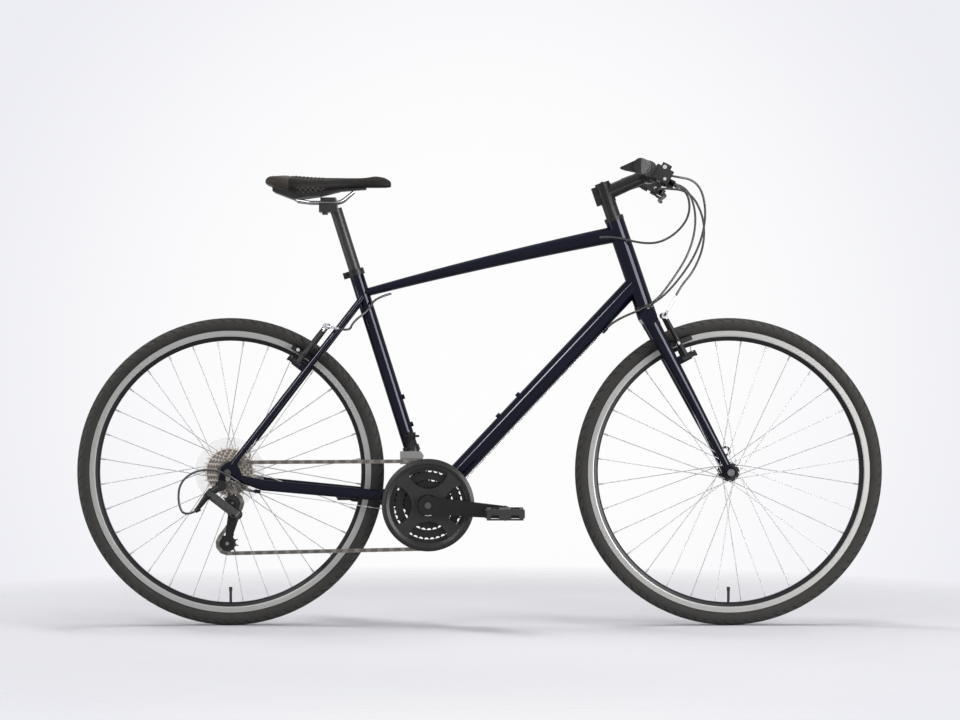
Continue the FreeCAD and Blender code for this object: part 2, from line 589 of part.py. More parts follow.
def tyre(prefix, axle):
    """The tyre, its inner tube and the valve, which stands in a hole of the rim."""
    ring = "tyre_radius - tyre_section"
    outer = ring_torus(f"{prefix}_casing", axle, ring, "tyre_section")
    inner = ring_torus(f"{prefix}_hollow", axle, ring, "tyre_section - tyre_wall")
    tube = ring_torus(f"{prefix}_tube_outer", axle, ring, "tyre_section - tyre_wall - tube_gap")
    air = ring_torus(f"{prefix}_air", axle, ring,
                     "tyre_section - tyre_wall - tube_gap - tube_wall_thickness")
    tube = cut(f"{prefix}_tube", tube, air)
    seat = disc(f"{prefix}_tyre_seat", axle, Y_AXIS, "rim_radius + seat_gap", "tyre_section * 3")
    start = polar(axle, size.rim_radius - size.boss_sink, math.pi, 0)
    inside = size.rim_radius - size.rim_depth - size.valve_length
    stem_end = polar(axle, inside + size.valve_cap_length, math.pi, 0)
    stem = rod(f"{prefix}_valve", start, stem_end, "valve_radius")
    cap = rod(f"{prefix}_valve_cap", stem_end, polar(axle, inside, math.pi, 0), "valve_cap_radius")
    keep(f"{prefix}_tyre", [cut(f"{prefix}_tyre", outer, inner, seat), tube,
                            fuse(f"{prefix}_valve_body", stem, cap)])
    return start, stem_end


def rim(prefix, axle, valve):
    half = [("rim_half_width", "rim_radius"), ("rim_half_width - rim_flange", "rim_radius"),
            ("rim_half_width - rim_flange", "rim_radius - rim_channel"),
            ("rim_bed_half", "rim_radius - rim_bed")]
    under = [("rim_nose_half", "rim_radius - rim_depth"),
             ("rim_slope_half", "rim_radius - rim_track - rim_slope"),
             ("rim_half_width", "rim_radius - rim_track")]
    mirror = [(f"-({along})", radius) for along, radius in half + under]
    outline = half + mirror[3::-1] + mirror[:3:-1] + under
    ring = turned(f"{prefix}_rim_ring", axle, Y_AXIS, outline)
    hole = rod(f"{prefix}_valve_hole", valve[0] + Z_AXIS * -over, valve[1], "valve_radius + seat_gap")
    keep(f"{prefix}_rim", [cut(f"{prefix}_rim", ring, hole)])


def hub(prefix, axle, left_end, right_end):
    core = "hub_core_radius"
    flange = f"{prefix}_flange_circle + flange_margin"
    bore = "axle_radius + running_clearance"
    left = f"{prefix}_flange_left"
    right = f"{prefix}_flange_right"
    outline = [(f"-({right_end})", bore), (f"-({right_end})", "hub_end_radius"),
               (f"-({right} + flange_thickness / 2)", "hub_end_radius"),
               (f"-({right} + flange_thickness / 2)", flange),
               (f"-({right} - flange_thickness / 2)", flange),
               (f"-({right} - flange_thickness / 2)", core), (f"{left} - flange_thickness / 2", core),
               (f"{left} - flange_thickness / 2", flange), (f"{left} + flange_thickness / 2", flange),
               (f"{left} + flange_thickness / 2", "hub_end_radius"), (left_end, "hub_end_radius"),
               (left_end, bore)]
    keep(f"{prefix}_hub", [turned(f"{prefix}_hub", axle, Y_AXIS, outline)])


def spokes(prefix, axle, circle, flange_at):
    """Crossed spokes, alternately inside and outside their flange, each ending in a nipple at the rim."""
    per_flange = int(size.spoke_count / 2)
    step = 2 * math.pi / per_flange
    seat = size.rim_radius - size.rim_depth - size.body_gap
    beside = size.flange_thickness / 2 + size.spoke_radius + size.seat_gap
    pieces = []
    for name, side in SIDES.items():
        for number in range(per_flange):
            turn = 1 if number % 2 else -1
            outside = size.spoke_radius if number % 2 else 0
            hub_angle = (number + (side < 0) * 0.5) * step + VALVE_SHARE * step
            rim_angle = hub_angle + turn * size.spoke_cross * step
            y = side * (flange_at[name] + turn * beside + outside)
            start = polar(axle, circle, hub_angle, y)
            end = polar(axle, seat, rim_angle, side * size.spoke_rim_half)
            neck = end - (end - start).normalize() * size.nipple_length
            pieces.append(rod(f"{prefix}_spoke_{name}{number}", start, neck, "spoke_radius"))
            pieces.append(rod(f"{prefix}_nipple_{name}{number}", neck, end, "nipple_radius"))
    keep(f"{prefix}_spokes", pieces)


# A quarter of a spoke step keeps the lowest spokes clear of the valve
VALVE_SHARE = 0.25
protector_end = "rear_flange_right + flange_thickness / 2 + protector_gap + protector_thickness"
hub_ends = {"front": ("front_drop_half - hub_end_length", "front_drop_half - hub_end_length"),
            "rear": ("rear_drop_half - hub_end_length", protector_end)}
for prefix, axle in (("front", front_axle), ("rear", rear_axle)):
    valve = tyre(prefix, axle)
    rim(prefix, axle, valve)
    hub(prefix, axle, *hub_ends[prefix])
    flanges = {name: getattr(size, f"{prefix}_flange_{name}") for name in SIDES}
    spokes(prefix, axle, getattr(size, f"{prefix}_flange_circle"), flanges)

protector_inside = size.rear_flange_right + size.flange_thickness / 2 + size.protector_gap
protector_y = protector_inside + size.protector_thickness / 2
protector_at = rear_axle - Y_AXIS * protector_y
protector = disc("protector_disc", protector_at, Y_AXIS, "protector_radius", "protector_thickness")
protector_hole = disc("protector_hole", protector_at, Y_AXIS, "hub_end_radius + seat_gap", "cut_overrun")
keep("spoke_protector", [cut("protector", protector, protector_hole)])


# Axles with their lock nuts and end caps, and the quick release levers on the left
def axle_set(name, axle, drop_half, up):
    half = f"{drop_half} + drop_thickness"
    outline = [(f"-({half})", "0"), (f"-({half})", "axle_end_radius"),
               (f"-({drop_half})", "axle_end_radius"),
               (f"-({drop_half})", "lock_nut_radius"),
               (f"-({drop_half} - hub_end_length + hub_cap_length)", "lock_nut_radius"),
               (f"-({drop_half} - hub_end_length + hub_cap_length)", "axle_radius")]
    mirror = [(along[1:], radius) for along, radius in outline[::-1]]
    bar = turned(f"{name}_bar", axle, Y_AXIS, outline + mirror)
    reach = getattr(size, drop_half) + size.drop_thickness + size.seat_gap
    right = axle - Y_AXIS * reach
    left = axle + Y_AXIS * reach
    nut = rod(f"{name}_nut", right, right - Y_AXIS * size.nut_length, "nut_radius")
    cap = [rod(f"{name}_cap", left, left + Y_AXIS * size.cap_length, "nut_radius")]
    across = up.cross(Y_AXIS)
    pivot = left + Y_AXIS * size.cam_gap
    for side in SIDES.values():
        ear_at = across * side * (size.cam_length / 2 + size.body_gap + size.ear_thickness / 2)
        cap.append(block(f"{name}_ear", left + Y_AXIS * (size.cam_gap / 2) + ear_at,
                         axes_rotation(across, Y_AXIS),
                         "ear_thickness", "cam_radius * 1.2", "cam_gap"))
        cap.append(disc(f"{name}_ear_end", pivot + ear_at, across, "cam_radius * 0.8", "ear_thickness"))
    cap.append(disc(f"{name}_pin", pivot, across, "pivot_pin_radius", "cam_length + ear_thickness * 2"))
    keep(name, [bar, nut, fuse(f"{name}_cam_holder", *cap)])
    return left


def release_lever(name, cap, up):
    """A cam across the axle, a stem and an open loop at its end."""
    across = up.cross(Y_AXIS)
    pivot = cap + Y_AXIS * size.cam_gap
    cam = disc(f"{name}_cam", pivot, across, "cam_radius", "cam_length")
    stem_end = pivot + up * size.lever_stem_length
    stem = rod(f"{name}_stem", pivot, stem_end, "lever_stem_radius")
    loop = ring_torus(f"{name}_loop", stem_end + up * size.lever_loop_radius, "lever_loop_radius",
                      "lever_loop_wire")
    hole = disc(f"{name}_hole", pivot, across, "pivot_pin_radius + running_clearance", "cut_overrun")
    keep(name, [cut(f"{name}_body", fuse(f"{name}_fuse", cam, stem, loop), hole)])


front_cap = axle_set("front_axle", front_axle, "front_drop_half", Z_AXIS)
rear_cap = axle_set("rear_axle", rear_axle, "rear_drop_half", stay_up)
release_lever("front_release_lever", front_cap, Z_AXIS)
release_lever("rear_release_lever", rear_cap, stay_up)

# Fork: a crown, two straight tapered blades, slotted tips and the front brake posts
crown_at = on_head(size.crown_along)
crown_bar = disc("crown_bar", crown_at, Y_AXIS, "crown_radius",
                 "(crown_half + blade_top_radius + crown_shoulder) * 2")
crown_top = on_head(size.head_tube_start - size.cup_length - size.body_gap)
crown_neck = rod("crown_neck", crown_at, crown_top, "crown_neck_radius")
blade_along = (front_axle - crown_at).normalize()
blade_ahead = blade_along.cross(Y_AXIS).normalize()
blade_length = (front_axle - crown_at).Length
fork_pieces = []
front_posts = {}


def blade_line(side, down):
    share = down / blade_length
    y = size.crown_half + (size.blade_end_half - size.crown_half) * share
    return crown_at + blade_along * down + Y_AXIS * side * y


sockets = [rod(f"blade_socket_{name}", blade_line(side, 0), blade_line(side, size.socket_length),
               "blade_top_radius + socket_wall") for name, side in SIDES.items()]
fork_pieces.append(fuse("crown_fuse", crown_bar, crown_neck, *sockets))
for name, side in SIDES.items():
    blade_end = blade_line(side, blade_length - size.blade_end_gap)
    blade = cone(f"blade_{name}", blade_line(side, size.socket_length), blade_end, "blade_top_radius",
                 "blade_end_radius")
    fork_pieces.append(blade)
    tip_at = front_axle + Y_AXIS * side * (size.front_drop_half + size.drop_thickness / 2)
    tip_disc = disc(f"tip_disc_{name}", tip_at, Y_AXIS, "tip_radius", "drop_thickness")
    tip_neck = block(f"tip_neck_{name}", tip_at - blade_along * (size.blade_end_gap / 2),
                     axes_rotation(Y_AXIS, blade_along), "drop_thickness", "blade_end_radius * 2",
                     "blade_end_gap")
    tip_slot = block(f"tip_slot_{name}", tip_at + blade_along * (size.tip_radius / 2 + size.drop_slot / 2),
                     axes_rotation(Y_AXIS, blade_along), "drop_thickness * 2", "drop_slot * 2",
                     "tip_radius + drop_slot * 3")
    fork_pieces.append(cut(f"tip_{name}", fuse(f"tip_fuse_{name}", tip_disc, tip_neck), tip_slot, blade))
    foot = blade_line(side, size.front_post_down)
    foot = V(foot.x, side * size.post_half, foot.z) + blade_ahead * size.front_post_shift
    front_posts[name] = foot
    fork_pieces.append(brake_post(f"front_post_{name}", foot, blade_ahead, blade))
keep("fork", fork_pieces)

# Steerer with its spacers and top cap
headset_top = size.head_tube_start + size.head_tube_length + size.cup_length + size.body_gap
stem_foot = headset_top + size.spacer_stack
stem_head = stem_foot + size.stem_clamp_height
steerer = pipe("steerer_tube", crown_top, on_head(stem_head), "steerer_radius",
               "steerer_radius - tube_wall")
spacers = []
spacer_length = size.spacer_stack / size.spacer_count
for number in range(int(size.spacer_count)):
    low = stem_foot - spacer_length * (number + 1)
    spacers.append(pipe(f"spacer{number}", on_head(low), on_head(low + spacer_length), "spacer_radius",
                        "steerer_radius + running_clearance"))
cap_disc = rod("top_cap", on_head(stem_head), on_head(stem_head + size.cap_height), "cap_radius")
cap_bolt = rod("cap_bolt", on_head(stem_head + size.cap_height), on_head(stem_head + size.cap_height * 1.5),
               "clamp_bolt_radius")
keep("steerer", [steerer, cap_disc, cap_bolt] + spacers)

# Stem with its faceplate and bolts
stem_rise = math.radians(size.stem_angle)
stem_along = V(math.cos(stem_rise), 0, math.sin(stem_rise))
stem_across = Y_AXIS.cross(stem_along) * -1
stem_mid = on_head((stem_foot + stem_head) / 2)
bar_at = stem_mid + stem_along * size.stem_length
ears_at = stem_mid - head_ahead * (size.stem_clamp_radius + size.stem_ear_depth / 2)
ears_turn = axes_rotation(Y_AXIS, head_up)
stem_ears = block("stem_ears", ears_at + head_ahead * (size.stem_ear_depth / 2), ears_turn,
                  "stem_ear_width",
                  "stem_ear_depth * 2", "stem_clamp_height")
stem_slot = block("stem_slot", ears_at, ears_turn, "tube_wall", "stem_ear_depth * 3",
                  "stem_clamp_height * 2")
pinch_bolts = []
pinch_holes = []
for upper in (1, -1):
    at = ears_at + head_up * upper * size.stem_pinch_half
    pinch_bolts.append(disc(f"pinch_bolt{upper + 1}", at, Y_AXIS, "clamp_bolt_radius", "stem_pinch_length"))
    pinch_holes.append(disc(f"pinch_hole{upper + 1}", at, Y_AXIS, "clamp_bolt_radius + seat_gap",
                            "stem_pinch_length * 2"))
stem_solid = fuse("stem_fuse", stem_ears,
                  rod("stem_clamp", on_head(stem_foot), on_head(stem_head), "stem_clamp_radius"),
                  cone("stem_neck", stem_mid, bar_at, "stem_neck_radius", "stem_neck_radius - tube_wall"),
                  disc("stem_bar_clamp", bar_at, Y_AXIS, "bar_clamp_radius", "bar_clamp_length"))
bar_room = disc("bar_room", bar_at, Y_AXIS, "bar_middle_radius + seat_gap", "bar_clamp_length * 2")
stem_room = rod("stem_room", on_head(stem_foot - over), on_head(stem_head + over),
                "steerer_radius + running_clearance")
front_half = block("stem_front_half", bar_at + stem_along * size.bar_clamp_radius,
                   axes_rotation(Y_AXIS, stem_across),
                   "bar_clamp_length * 2", "bar_clamp_radius * 2", "bar_clamp_radius * 3")
stem_body = cut("stem_body", stem_solid, bar_room, stem_room, front_half, stem_slot, *pinch_holes)
plate_ring = disc("faceplate_ring", bar_at, Y_AXIS, "bar_clamp_radius", "bar_clamp_length")
plate_side = block("faceplate_side", bar_at - stem_along * (size.bar_clamp_radius - size.seat_gap),
                   axes_rotation(Y_AXIS, stem_across), "bar_clamp_length * 2", "bar_clamp_radius * 2",
                   "bar_clamp_radius * 3")
faceplate = cut("faceplate", plate_ring, bar_room, plate_side)
stem_bolts = []
for name, side in SIDES.items():
    for upper in (1, -1):
        across = stem_across * upper * (size.bar_clamp_radius + size.bar_middle_radius) * 0.5
        at = bar_at + across + Y_AXIS * side * (size.bar_clamp_length * 0.5 - size.stem_bolt_inset)
        head = rod(f"stem_bolt_{name}{upper + 1}", at + stem_along * size.stem_bolt_start,
                   at + stem_along * (size.stem_bolt_start + size.stem_bolt_length), "clamp_bolt_radius")
        stem_bolts.append(cut(f"stem_bolt_{name}{upper + 1}", head, faceplate))
keep("stem", [stem_body, faceplate] + stem_bolts + pinch_bolts)


# Handlebar: straight in the middle, then a low rise and a little sweep back
def bar_points(side):
    rise = V(size.bar_sweep_start, side * size.bar_bend_half, size.bar_rise)
    end = V(-size.bar_sweep, side * size.bar_half, size.bar_end_rise)
    return bar_at + V(0, side * size.bar_flat_half, 0), bar_at + rise, bar_at + end


left_bar = bar_points(1)
right_bar = bar_points(-1)
bar_path = list(left_bar[::-1]) + list(right_bar)
bar_tube = solid("bar_tube", round_sweep(bar_path, size.bar_radius, size.bar_bend))
bar_middle = disc("bar_middle", bar_at, Y_AXIS, "bar_middle_radius", "bar_clamp_length * 1.5")
keep("handlebar", [fuse("handlebar_fuse", bar_tube, bar_middle)])

# Grips with palm wings, and what is clamped beside them
grips = []
controls = {}
for name, side in SIDES.items():
    inner, end = bar_points(side)[1:]
    inward = (inner - end).normalize()
    grip_end = end + inward * size.grip_length
    sleeve = rod(f"grip_{name}_sleeve", end, grip_end, "grip_radius")
    shoulder = rod(f"grip_{name}_shoulder", grip_end - inward * size.grip_collar, grip_end,
                   "grip_collar_radius")
    wing_turn = axes_rotation(inward, V(-math.sin(math.radians(size.wing_droop)), 0,
                                        math.cos(math.radians(size.wing_droop))))
    back = wing_turn.multVec(Y_AXIS)
    back = back if back.x < 0 else back * -1
    wing = plate(f"grip_{name}_wing", end + inward * (size.wing_width / 2), back, inward, "wing_width",
                 [("0", "grip_radius"), ("wing_reach", "wing_edge"), ("wing_reach", "-wing_edge"),
                  ("0", "-grip_radius")])
    edge_start = end + back * size.wing_reach
    edge = rod(f"grip_{name}_edge", edge_start, edge_start + inward * size.wing_width, "wing_edge")
    room = rod(f"grip_{name}_room", end, grip_end + inward * over, "bar_radius + running_clearance")
    grips.append(cut(f"grip_{name}", fuse(f"grip_fuse_{name}", sleeve, shoulder, wing, edge), room))
    cap = rod(f"grip_cap_{name}", end, end - inward * size.grip_cap, "grip_radius")
    grips.append(cut(f"grip_cap_{name}", cap, grips[-1]))
    controls[name] = (grip_end + inward * (size.pod_gap + size.pod_width / 2), inward)
keep("grips", grips)

# Control pods, tilted forward and down: a bar clamp, the shifter case with its round indicator, and the
# brake lever's perch
pod_turn = FreeCAD.Rotation(Y_AXIS, size.pod_tilt)
pod_normal = pod_turn.multVec(Z_AXIS)
pod_forward = pod_turn.multVec(X_AXIS)


def pod_offset(ahead, out, up):
    """An offset given along a pod's own directions."""
    return pod_forward * ahead + Y_AXIS * out + pod_normal * up


pod_pieces = []
lever_pivots = {}
trigger_pivots = {}
for name, side in SIDES.items():
    at, inward = controls[name]
    half = inward * (size.pod_width / 2)
    clamp = rod(f"pod_clamp_{name}", at - half, at + half, "pod_clamp_radius")
    case_at = at + pod_offset(size.pod_ahead, 0, size.pod_up)
    case = block(f"pod_case_{name}", case_at, pod_turn, "pod_length", "pod_width", "pod_height")
    case_top = case_at + pod_normal * (size.pod_height / 2)
    brow = disc(f"pod_brow_{name}", case_top, Y_AXIS, "pod_brow_radius", "pod_width")
    dial = disc(f"pod_dial_{name}", case_top + pod_normal * (size.pod_brow_radius / 2), pod_normal,
                "dial_radius",
                "pod_brow_radius * 1.4")
    pivot = at + pod_offset(size.pod_ahead + size.pod_length / 2 + size.perch_reach, 0, -size.perch_drop)
    lever_pivots[name] = pivot
    ear_gap = size.lever_hub_height / 2 + size.body_gap + size.ear_thickness / 2
    ears = []
    for upper in (1, -1):
        ear_at = pivot + pod_offset(-size.perch_reach / 2, 0, upper * ear_gap)
        ears.append(block(f"perch_{name}{upper + 1}", ear_at, pod_turn,
                          "perch_reach + lever_hub_radius * 2",
                          "lever_hub_radius * 2", "ear_thickness"))
    pin = disc(f"perch_pin_{name}", pivot, pod_normal, "pivot_pin_radius",
               "lever_hub_height + body_gap * 2 + ear_thickness * 2")
    case_foot = case_at - pod_normal * (size.pod_height / 2)
    feet = []
    for kind, ahead in (("shift", -size.thumb_back), ("release", size.release_ahead)):
        pivot_at = case_foot + pod_forward * ahead
        trigger_pivots[name, kind] = pivot_at - pod_normal * (size.body_gap + size.trigger_hub_height / 2)
        feet.append(rod(f"trigger_pin_{name}_{kind}", pivot_at,
                        pivot_at - pod_normal * (size.trigger_hub_height + size.body_gap * 2),
                        "pivot_pin_radius"))
    room = rod(f"pod_room_{name}", at - half * 2, at + half * 2, "bar_radius + running_clearance")
    whole = fuse(f"pod_fuse_{name}", clamp, case, brow, dial, pin, *ears, *feet)
    pod_pieces.append(cut(f"pod_{name}", whole, room))
keep("control_pods", pod_pieces)

# Brake levers: a hub on the perch pin and a blade that reaches out in front of the grip
for name, side in SIDES.items():
    pivot = lever_pivots[name]
    bend = pivot + pod_offset(size.lever_bow, side * size.lever_bend_out, 0)
    tip = pivot + pod_offset(size.lever_bow / 2, side * size.lever_reach, -size.lever_droop)
    curl = tip + pod_offset(size.lever_bow / 2, side * size.lever_bow, 0)
    hub_disc = disc(f"lever_hub_{name}", pivot, pod_normal, "lever_hub_radius", "lever_hub_height")
    sweep = round_sweep([pivot, bend, tip, curl], size.lever_radius, size.bar_bend)
    blade = solid(f"lever_blade_{name}", sweep)
    hole = disc(f"lever_hole_{name}", pivot, pod_normal, "pivot_pin_radius + running_clearance",
                "lever_hub_height * 2")
    keep(f"{name}_brake_lever", [cut(f"lever_{name}", fuse(f"lever_fuse_{name}", hub_disc, blade), hole)])

# Shift levers: a thumb paddle under the bar and a small release lever ahead of it
for (name, kind), pivot in trigger_pivots.items():
    side = SIDES[name]
    end = pivot - pod_forward * size.thumb_reach
    if kind == "release":
        end = pivot + pod_offset(size.release_reach, side * size.release_reach, 0)
    hub_disc = disc(f"{kind}_hub_{name}", pivot, pod_normal, "trigger_hub_radius", "trigger_hub_height")
    arm = rod(f"{kind}_arm_{name}", pivot, end, "trigger_hub_height * 0.4")
    paddle = disc(f"{kind}_paddle_{name}", end, pod_normal, "trigger_hub_radius", "trigger_hub_height")
    hole = disc(f"{kind}_hole_{name}", pivot, pod_normal, "pivot_pin_radius + running_clearance",
                "trigger_hub_height * 2")
    lever = fuse(f"{kind}_fuse_{name}", hub_disc, arm, paddle)
    keep(f"{name}_{kind}_lever", [cut(f"{kind}_lever_{name}", lever, hole)])


# Rim brakes: two arms on their posts, each with a pad facing the rim; the right arm holds the lead pipe
def rim_distance(pivot, up, axle, radius):
    """How far up an arm from its pivot the rim's brake track passes."""
    out = pivot - axle
    half = out.x * up.x + out.z * up.z
    gap = out.x ** 2 + out.z ** 2 - radius ** 2
    return -half + math.sqrt(half ** 2 - gap)


def brake_arm(prefix, name, foot, normal, up, axle, lead):
    side = SIDES[name]
    start = size.post_base_length + size.body_gap
    pivot = foot + normal * (start + size.arm_barrel_length / 2)
    top = pivot + up * size.arm_length + Y_AXIS * side * (size.arm_top_half - size.post_half)
    tag = f"{prefix}_{name}"
    barrel = rod(f"{tag}_barrel", foot + normal * start, foot + normal * (start + size.arm_barrel_length),
                 "arm_barrel_radius")
    blade = cone(f"{tag}_blade", pivot, top, "arm_foot_radius", "arm_top_radius")
    knob = disc(f"{tag}_knob", top, Y_AXIS, "arm_foot_radius", "arm_top_radius * 2.4")
    bore = rod(f"{tag}_bore", foot, foot + normal * size.post_length * 2,
               "brake_post_radius + running_clearance")
    bolt = rod(f"{tag}_bolt", foot + normal * (size.post_length + size.body_gap),
               foot + normal * (size.post_length + size.arm_bolt_length), "arm_foot_radius")
    sleeve = rod(f"{tag}_sleeve", foot + normal * (start + size.arm_barrel_length),
                 foot + normal * (size.post_length + size.body_gap), "arm_bolt_radius")
    arm = fuse(f"{tag}_arm", fuse(f"{tag}_metal", barrel, blade, knob, sleeve), bolt)
    arm = cut(f"{tag}_arm_bored", arm, bore)
    track = size.rim_radius - size.rim_track / 2
    along = rim_distance(pivot, up, axle, track)
    on_arm = pivot + (top - pivot) * (along / size.arm_length)
    out = V(on_arm.x - axle.x, 0, on_arm.z - axle.z).normalize()
    pad_face = size.rim_half_width + size.pad_gap
    pad_at = axle + out * track + Y_AXIS * side * (pad_face + size.pad_width / 2)
    pad = block(f"{tag}_pad", pad_at, axes_rotation(Y_AXIS, out), "pad_width", "pad_length", "pad_height")
    stud = rod(f"{tag}_stud", pad_at + Y_AXIS * side * (size.pad_width / 2),
               V(pad_at.x, on_arm.y, pad_at.z) +
               Y_AXIS * side * size.stud_reach, "stud_radius")
    pieces = [arm, pad, cut(f"{tag}_stud", stud, arm)]
    inner = V(top.x, side * size.lead_start, top.z)
    if name == "right":
        pipe_points = [inner, V(top.x, side * size.lead_out, top.z), top + lead]
        pipe_points[2].y = side * size.lead_out
        lead_pipe = solid(f"{tag}_lead", round_sweep(pipe_points, size.lead_radius, size.lead_bend))
        pieces.append(cut(f"{tag}_lead", lead_pipe, arm))
        lead_end = pipe_points[2]
    else:
        lead_end = inner
    keep(f"{prefix}_{name}_brake_arm", pieces)
    return lead_end, top


brake_ends = {}
for name in SIDES:
    front_lead = V(size.front_lead_x, 0, size.front_lead_z)
    rear_lead = V(size.rear_lead_x, 0, size.rear_lead_z)
    brake_ends["front", name] = brake_arm("front", name, front_posts[name], blade_ahead, blade_along * -1,
                                          front_axle, front_lead)
    brake_ends["rear", name] = brake_arm("rear", name, rear_posts[name], stay_back, stay_up, rear_axle,
                                         rear_lead)

# Chain drive in one plane: each wheel is (centre, teeth, turning sense seen from the right side)
chain_y = -size.chain_line
ring_teeth = [int(size.ring_outer_teeth), int(size.ring_middle_teeth), int(size.ring_inner_teeth)]
guide_at = rear_axle + V(size.guide_x, chain_y, size.guide_z)
tension_at = rear_axle + V(size.tension_x, chain_y, size.tension_z)
bracket_plane = bracket + Y_AXIS * chain_y
axle_plane = rear_axle + Y_AXIS * chain_y
COG_TEETH = [11, 13, 15, 18, 21, 24, 28]
PULLEY_TEETH = 11
loop_wheels = [("ring", bracket_plane, ring_teeth[0], 1), ("cog", axle_plane, COG_TEETH[0], 1),
               ("guide", guide_at, PULLEY_TEETH, -1), ("tension", tension_at, PULLEY_TEETH, 1)]


def pitch_radius(teeth):
    return size.chain_pitch * teeth / (2 * math.pi)


def around(centre, radius, angle):
    """A point round a wheel, its angle counted from forward towards up."""
    return centre + V(radius * math.cos(angle), 0, radius * math.sin(angle))


def chain_spans():
    """The chain's path: (length, function from distance to point) for each arc and straight run."""
    count = len(loop_wheels)
    headings = []
    for k in range(count):
        _, start, start_teeth, start_sense = loop_wheels[k]
        _, end, end_teeth, end_sense = loop_wheels[(k + 1) % count]
        apart = end - start
        lean = end_sense * pitch_radius(end_teeth) - start_sense * pitch_radius(start_teeth)
        headings.append(math.atan2(apart.z, apart.x) - math.asin(lean / apart.Length))
    spans = []
    for k in range(count):
        name, centre, teeth, sense = loop_wheels[k]
        radius = pitch_radius(teeth)
        angle_in = headings[k - 1] - sense * math.pi / 2
        angle_out = headings[k] - sense * math.pi / 2
        turn = (sense * (angle_out - angle_in)) % (2 * math.pi)
        spans.append((name, radius * turn, centre, radius, angle_in, sense))
        _, after, after_teeth, after_sense = loop_wheels[(k + 1) % count]
        leave = around(centre, radius, angle_out)
        meet = around(after, pitch_radius(after_teeth), headings[k] - after_sense * math.pi / 2)
        spans.append((None, (meet - leave).Length, leave, meet, 0, 0))
    return spans


def chain_rollers():
    """Evenly spaced rollers along the path, and each wheel's angle that puts a tooth gap at its rollers."""
    spans = chain_spans()
    total = sum(span[1] for span in spans)
    count = 2 * round(total / size.chain_pitch / 2)
    step = total / count
    points = []
    phases = {}
    reached = 0
    index = 0
    for name, length, start, end, angle_in, sense in spans:
        while index < count and index * step < reached + length:
            travel = index * step - reached
            if name:
                angle = angle_in + sense * travel / end
                points.append(around(start, end, angle))
                middle_travel = length / 2
                if abs(travel - middle_travel) <= step:
                    phases[name] = angle
            else:
                points.append(start + (end - start) * (travel / length))
            index += 1
        reached += length
    return points, phases


def toothed_face(centre, teeth, phase, bore):
    """A sprocket outline: a round gap for each roller, with flats between them as tooth tips."""
    radius = pitch_radius(teeth)
    step = 2 * math.pi / teeth
    tip = radius + size.tooth_height
    floor = radius - size.roller_radius - size.body_gap
    edges = []
    for k in range(teeth):
        angle = phase + k * step
        start = around(centre, tip, angle - GAP_SHARE * step)
        end = around(centre, tip, angle + GAP_SHARE * step)
        edges.append(Part.Arc(start, around(centre, floor, angle), end).toShape())
        edges.append(Part.LineSegment(end, around(centre, tip, angle + step - GAP_SHARE * step)).toShape())
    hole = Part.Wire(Part.makeCircle(bore, centre, Y_AXIS))
    return Part.Face([Part.Wire(edges), hole])


def sprocket(centre, teeth, phase, bore, thickness):
    return toothed_face(centre - Y_AXIS * (thickness / 2), teeth, phase, bore).extrude(Y_AXIS * thickness)


GAP_SHARE = 0.39
rollers, phases = chain_rollers()
print("chain links", len(rollers))


# Chain: outer and inner links in turn, pinned together
def link_plate(length, height, thickness, y):
    """An upright plate with round ends between two pins on local X."""
    half = height / 2
    top = Part.LineSegment(V(0, y, half), V(length, y, half)).toShape()
    nose = Part.Arc(V(length, y, half), V(length + half, y, 0), V(length, y, -half)).toShape()
    foot = Part.LineSegment(V(length, y, -half), V(0, y, -half)).toShape()
    tail = Part.Arc(V(0, y, -half), V(-half, y, 0), V(0, y, half)).toShape()
    return Part.Face(Part.Wire([top, nose, foot, tail])).extrude(Y_AXIS * thickness)


def chain_link(outer, length):
    thick = size.link_plate
    inner_y = size.roller_half
    start = inner_y + thick + size.seat_gap if outer else inner_y
    plates = [link_plate(length, size.link_height, thick, y) for y in (start, -start - thick)]
    pin_radius = size.pin_radius if outer else size.roller_radius
    reach = start + thick if outer else start
    bars = [Part.makeCylinder(pin_radius, reach * 2, V(x, -reach, 0), Y_AXIS) for x in (0, length)]
    link = plates[0].multiFuse(plates[1:] + bars)
    if outer:
        return link
    hole = size.pin_radius + size.link_play
    holes = [Part.makeCylinder(hole, reach * 4, V(x, -reach * 2, 0), Y_AXIS) for x in (0, length)]
    return link.cut(holes)


links = []
for k, start in enumerate(rollers):
    end = rollers[(k + 1) % len(rollers)]
    link = chain_link(k % 2 == 0, (end - start).Length)
    link.Placement = FreeCAD.Placement(start, FreeCAD.Rotation(end - start, V(0, 1, 0), V(), "XYZ"))
    links.append(link)
keep("chain", [solid("chain_links", Part.makeCompound(links))])

# Chainrings on the spider, from the outside in, and the spider's bolts
rings = []
for number, teeth in enumerate(ring_teeth):
    centre = bracket + Y_AXIS * (chain_y + number * size.ring_step)
    bore = pitch_radius(teeth) - size.ring_depth
    rings.append(solid(f"ring{number}", sprocket(centre, teeth, phases["ring"], bore, size.ring_thickness)))
keep("chainrings", rings)

